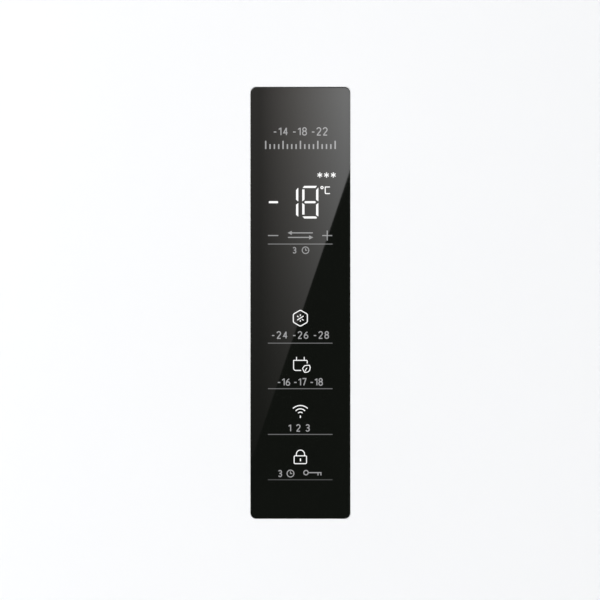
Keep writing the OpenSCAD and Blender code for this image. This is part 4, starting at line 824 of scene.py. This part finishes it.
def draw_calendar_leaf(mesh):
    """A box with two pegs, and a leaf over its lower right corner."""
    left, right, low, high = -3.1, 3.06, -30.6, -26.06
    outline = [(right, -27.45)] + arc(right - 0.35, high - 0.35, 0.35, 0, 90, 3)
    outline += arc(left + 0.12, high - 0.12, 0.12, 90, 180, 2)
    outline += arc(left + 1.0, low + 1.0, 1.0, 180, 270, 6) + [(0.32, low)]
    add_stroke(mesh, outline, ICON_T)
    for x in (-1.77, 1.71):
        add_stroke(mesh, [(x, high + ICON_T / 2), (x, -24.5)], ICON_T - 0.04)
    leaf = [(1.84, -31.45), (1.42, -30.75), (1.0, -29.8), (1.3, -29.1), (1.95, -28.48),
            (3.06, -28.27), (4.12, -28.3), (4.42, -29.25), (4.22, -30.4), (3.62, -31.15),
            (2.8, -31.45)]
    add_stroke(mesh, leaf, 0.38, True)
    add_stroke(mesh, [(2.05, -30.95), (2.42, -30.2), (2.95, -29.5)], 0.36)


def draw_signal(mesh):
    """Three arcs over a short upright stroke."""
    x, half = -0.05, 0.25
    for z, radius, spread in ((-51.35, 4.88, 43), (-50.79, 2.83, 48), (-50.73, 1.28, 50)):
        add_stroke(mesh, arc(x, z, radius, 90 - spread, 90 + spread), ICON_T + 0.04)
    x = -0.03
    add_loop(mesh, rounded(x - half, x + half, -52.1, -50.95, half, 4))


def draw_padlock(mesh):
    left, right, low, high = -2.85, 2.75, -72.73, -69.2
    add_stroke(mesh, rounded(left, right, low, high, 0.45, 3), ICON_T, True)
    radius, top, foot = 1.86, -68.47, high + ICON_T / 2
    add_stroke(mesh, [(radius, foot)] + arc(0, top, radius, 0, 180, 14) + [(-radius, foot)],
               ICON_T)
    half = 0.27
    add_loop(mesh, rounded(-half, half, -71.7, -70.35, half, 4))


def draw_ticks(mesh):
    """A level scale in place of a caption: ticks of two heights."""
    low, width, count, every, stroke = 69.45, 31.4, 17, 4, 0.62
    long, short = 3.7, 2.2
    for i in range(count):
        x = -width / 2 + width * i / (count - 1)
        add_stroke(mesh, [(x, low), (x, low + (short if i % every else long))], stroke)


# Small numbers in strokes: each figure's width, and its strokes in a box one unit high

GLYPHS = {
    "-": (0.36, [[(0, 0.42), (0.36, 0.42)]]),
    "1": (0.3, [[(0, 0.77), (0.28, 0.94)], [(0.3, 0), (0.3, 1)]]),
    "2": (0.54, [arc(0.27, 0.74, 0.26, 170, -38, 14) + [(0.05, 0.04)], [(0, 0), (0.54, 0)]]),
    "3": (0.52, [arc(0.25, 0.76, 0.24, 155, -90, 14), arc(0.25, 0.26, 0.26, 90, -155, 14),
                 [(0.15, 0.52), (0.26, 0.52)]]),
    "4": (0.58, [[(0.42, 0), (0.42, 1)], [(0.41, 0.96), (0.05, 0.3), (0.58, 0.3)]]),
    "6": (0.52, [arc(0.26, 0.26, 0.26, 180, 540, 20), arc(0.73, 0.26, 0.73, 180, 112, 10)]),
    "7": (0.52, [[(0, 1), (0.5, 1), (0.18, 0)]]),
    "8": (0.52, [arc(0.26, 0.77, 0.23, -90, 270, 18), arc(0.26, 0.265, 0.265, 90, 450, 20)]),
}


def draw_numbers(mesh, text, x, z, width, height):
    """Plain numbers spread over a width, centred on x, z."""
    stroke, space = 0.46, 1.3
    size = height - stroke
    figures = [figure for figure in text if figure != " "]
    gaps = len(figures) - 1 + space * text.count(" ")
    spare = width - stroke - sum(GLYPHS[figure][0] for figure in figures) * size
    gap = spare / gaps if gaps else 0
    at = x - (width - stroke - (0 if gaps else spare)) / 2
    for figure in text:
        if figure == " ":
            at += gap * space
            continue
        for points in GLYPHS[figure][1]:
            add_stroke(mesh, [(at + u * size, z + (v - 0.5) * size) for u, v in points], stroke)
        at += GLYPHS[figure][0] * size + gap


def panel_signs():
    sign("digit_eight", WHITE, draw_eight)
    sign("digit_one", WHITE, right_bars, ONE_LEFT)
    sign("digit_minus", WHITE, draw_minus)
    sign("unit_degrees", ICON, draw_degrees)
    sign("snow_stars", WHITE, draw_snow_stars)
    sign("plus_minus_keys", GREY, draw_plus_minus)
    sign("change_over_sign", GREY, draw_both_ways)
    for i, (z, material) in enumerate(KEY_LINES):
        sign(f"key_line_{i + 1}", material, draw_key_line, z)
    sign("freeze_icon", ICON, draw_hexagon)
    sign("saving_icon", ICON, draw_calendar_leaf)
    sign("signal_icon", ICON, draw_signal)
    sign("lock_icon", ICON, draw_padlock)
    sign("scale_numbers", NUMBER, draw_numbers, "-14 -18 -22", 0.0, 77.4, 24.6, 3.8)
    sign("scale_ticks", NUMBER, draw_ticks)
    sign("hold_seconds", GREY, draw_numbers, "3", -2.7, 23.7, 1.9, 3.0)
    sign("hold_clock", GREY, draw_clock, 2.3, 23.7, 1.5)
    sign("freeze_steps", NUMBER, draw_numbers, "-24 -26 -28", -0.1, -14.6, 26.0, 3.5)
    sign("saving_steps", NUMBER, draw_numbers, "-16 -17 -18", -0.15, -35.8, 20.6, 3.5)
    sign("signal_steps", NUMBER, draw_numbers, "1 2 3", -0.65, -56.6, 9.8, 3.4)
    sign("lock_seconds", NUMBER, draw_numbers, "3", -9.2, -77.2, 1.9, 3.2)
    sign("lock_clock", NUMBER, draw_clock, -4.5, -77.2, 1.55)
    sign("lock_key", NUMBER, draw_key, 5.6, -76.8)


# Stage: floor, lights, camera, and the lit card that the panel's glass mirrors

PICTURE_WIDTH = 0.27096    # metres of door across the picture
PICTURE_PIXELS = 600
PIXEL = PICTURE_WIDTH / PICTURE_PIXELS
PANEL_PIXEL_X, PANEL_PIXEL_Y = 300.44, 302.69    # the panel's middle in the photo
LENS = 100.0
SENSOR_WIDTH = 36.0        # Blender's own, in millimetres as the lens
camera_distance = PICTURE_WIDTH * LENS / SENSOR_WIDTH
BACKGROUND = (0.90, 0.905, 0.91, 1)
WORLD_LIGHT = 0.685


def make_camera():
    """Square to the panel, as the photo's camera."""
    data = bpy.data.cameras.new("camera")
    data.lens = LENS
    camera = bpy.data.objects.new("camera", data)
    camera.location = (panel_x + (PICTURE_PIXELS / 2 - PANEL_PIXEL_X) * PIXEL,
                       glass_y - camera_distance,
                       panel_z + (PANEL_PIXEL_Y - PICTURE_PIXELS / 2) * PIXEL)
    camera.rotation_euler = (math.pi / 2, 0, 0)
    bpy.context.scene.collection.objects.link(camera)
    bpy.context.scene.camera = camera


def seen_rays(owner):
    """1 for rays that show a picture of what they meet, and 0 for those that only carry light."""
    path = add_node(owner, "ShaderNodeLightPath")
    seen_by = path.outputs["Is Camera Ray"]
    for ray in ("Is Glossy Ray", "Is Transmission Ray"):
        seen_by = math_node(owner, "MAXIMUM", seen_by, path.outputs[ray])
    return seen_by


def make_world():
    """A plain pale world, white to the eye and softer as light."""
    world = bpy.data.worlds.new("world")
    world.use_nodes = True
    world.node_tree.nodes.clear()
    light = add_node(world, "ShaderNodeBackground", Color=(1.0, 1.0, 1.0, 1),
                     Strength=WORLD_LIGHT)
    seen = add_node(world, "ShaderNodeBackground", Color=BACKGROUND)
    mix_surfaces(world, seen_rays(world), light.outputs[0], seen.outputs[0],
                 add_node(world, "ShaderNodeOutputWorld"))
    bpy.context.scene.world = world


def area_light(name, place, target, size, power):
    """A square lamp at a place, turned to a target; size in metres, power in watts."""
    data = bpy.data.lights.new(name, "AREA")
    data.size = size
    data.energy = power
    lamp = bpy.data.objects.new(name, data)
    lamp.location = place
    lamp.rotation_euler = (Vector(target) - Vector(place)).to_track_quat("-Z", "Y").to_euler()
    bpy.context.scene.collection.objects.link(lamp)
    return lamp


def make_lights():
    """Three lamps round the freezer, and one strip under its interior light."""
    body_middle = (0, 0, 0.9)
    area_light("key", (-2.6, -3.6, 3.2), body_middle, 2.4, 68.5)
    area_light("side", (-1.15, -1.35, panel_z), (0, glass_y, panel_z), 0.8, 4.9)
    area_light("back", (2.6, 3.4, 3.0), body_middle, 2.4, 30.0)
    low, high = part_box("interior_light")
    x, y = (low.x + high.x) / 2, (low.y + high.y) / 2
    strip = area_light("inside", (x, y, low.z - 2 * MM), (x, y + 0.05, 0.3), 0.2, 0.75)
    strip.data.shape = "RECTANGLE"
    strip.data.size_y = 0.03


def floor_material():
    """Pale matt floor that passes into the background a few metres out."""
    fade_from, fade_to = 1.2, 8.0
    material = surface("floor", (0.82, 0.82, 0.82), 0.8, spread=0.01)
    shader = material.node_tree.nodes["Principled BSDF"]
    output = material.node_tree.nodes["Material Output"]
    place = add_node(material, "ShaderNodeTexCoord")
    length = add_node(material, "ShaderNodeVectorMath")
    length.operation = "LENGTH"
    join(material, place.outputs["Object"], length.inputs[0])
    far = map_range(material, length.outputs["Value"], fade_from, fade_to, kind="SMOOTHSTEP")
    share = math_node(material, "MULTIPLY", far, seen_rays(material))
    glow = add_node(material, "ShaderNodeEmission", Color=BACKGROUND)
    mix_surfaces(material, share, shader.outputs[0], glow.outputs[0], output)
    return material


def make_floor():
    half_size = 30.0
    mesh = bmesh.new()
    bmesh.ops.create_grid(mesh, x_segments=1, y_segments=1, size=half_size)
    link_mesh("floor", mesh, floor_material())


# The card stands at the camera's plane, where the mirrored picture is twice as wide as the
# panel. Its lit half ends along a slanted edge, and it is brightest at its top right. Places on
# it are given as mirrored on the glass, in millimetres from the panel's middle.

CARD_SCALE = 2.0
MARGIN_X, MARGIN_Z = 1.25, 1.1            # the card's size against the mirrored panel's
CARD_PEAK = 3.7            # light at the brightest corner; the glass mirrors a 25th of it
CARD_LEAST = 0.05          # light that stays at the foot of the lit half
FADE_LEFT, FADE_RIGHT = -18.0, 20.0       # across, the light grows from LEFT_SHARE to whole
LEFT_SHARE = 0.145
FADE_LOW, FADE_HIGH = -87.0, 91.5         # upward it grows from nothing to whole
FADE_POWER = 1.25
SLANT_TOP = (22.44, 59.0)  # two points of the slanted edge
SLANT_LOW = (-20.56, -67.4)
SLANT_SOFT = 0.15          # half the width over which the edge fades
TINT_LEFT, TINT_RIGHT = (1.0, 0.90, 0.88, 1), (1.0, 1.0, 1.0, 1)
TINT_MIDDLE, TINT_PLACE = (0.952, 0.90, 0.868, 1), 0.45


def card_material():
    """Light that fades down and to the left, and ends at the slanted edge."""
    material = bpy.data.materials.new("card")
    material.use_nodes = True
    material.node_tree.nodes.clear()
    place = add_node(material, "ShaderNodeTexCoord")
    split = add_node(material, "ShaderNodeSeparateXYZ")
    join(material, place.outputs["Object"], split.inputs["Vector"])
    x, z = split.outputs["X"], split.outputs["Z"]
    unit = CARD_SCALE * MM
    across = map_range(material, x, FADE_LEFT * unit, FADE_RIGHT * unit, LEFT_SHARE)
    up = map_range(material, z, FADE_LOW * unit, FADE_HIGH * unit)
    up = math_node(material, "POWER", up, FADE_POWER)
    fade = math_node(material, "MULTIPLY", across, up)
    fade = math_node(material, "MULTIPLY", fade, CARD_PEAK)
    fade = math_node(material, "ADD", fade, CARD_LEAST)
    slope = (SLANT_TOP[0] - SLANT_LOW[0]) / (SLANT_TOP[1] - SLANT_LOW[1])
    inside = math_node(material, "SUBTRACT", math_node(material, "MULTIPLY", z, slope), x)
    inside = math_node(material, "ADD", inside, (SLANT_LOW[0] - slope * SLANT_LOW[1]) * unit)
    lit = map_range(material, inside, -SLANT_SOFT * unit, SLANT_SOFT * unit)
    tint = add_node(material, "ShaderNodeValToRGB")
    stops = tint.color_ramp.elements
    stops[0].color, stops[1].color = TINT_LEFT, TINT_RIGHT
    stops.new(TINT_PLACE).color = TINT_MIDDLE
    join(material, across, tint.inputs["Fac"])
    emission = add_node(material, "ShaderNodeEmission")
    join(material, tint.outputs["Color"], emission.inputs["Color"])
    join(material, math_node(material, "MULTIPLY", fade, lit), emission.inputs["Strength"])
    output = add_node(material, "ShaderNodeOutputMaterial")
    join(material, emission.outputs[0], output.inputs["Surface"])
    return material


def make_card():
    """The card, which only the glass's mirror image shows."""
    half_x = panel_w / 2 * CARD_SCALE * MARGIN_X
    half_z = panel_h / 2 * CARD_SCALE * MARGIN_Z
    mesh = bmesh.new()
    mesh.faces.new([mesh.verts.new((x, 0, z)) for x, z in
                    ((-half_x, -half_z), (-half_x, half_z), (half_x, half_z), (half_x, -half_z))])
    card = link_mesh("reflection_card", mesh, card_material())
    card.location = (panel_x, glass_y - camera_distance, panel_z)
    for flag in ("visible_camera", "visible_diffuse", "visible_transmission", "visible_shadow",
                 "visible_volume_scatter"):
        setattr(card, flag, False)


make_camera()
make_world()
make_lights()
make_floor()
make_card()
dress_nodes()
for edge_width, edge_nodes in EDGES.items():
    for edge_node in edge_nodes:
        round_edges(nodes[edge_node], edge_width)
door_gasket()
screw_set()
drawer_rims()
touch_glass()
glass_bead()
panel_signs()

bpy.context.scene.view_settings.view_transform = "Standard"
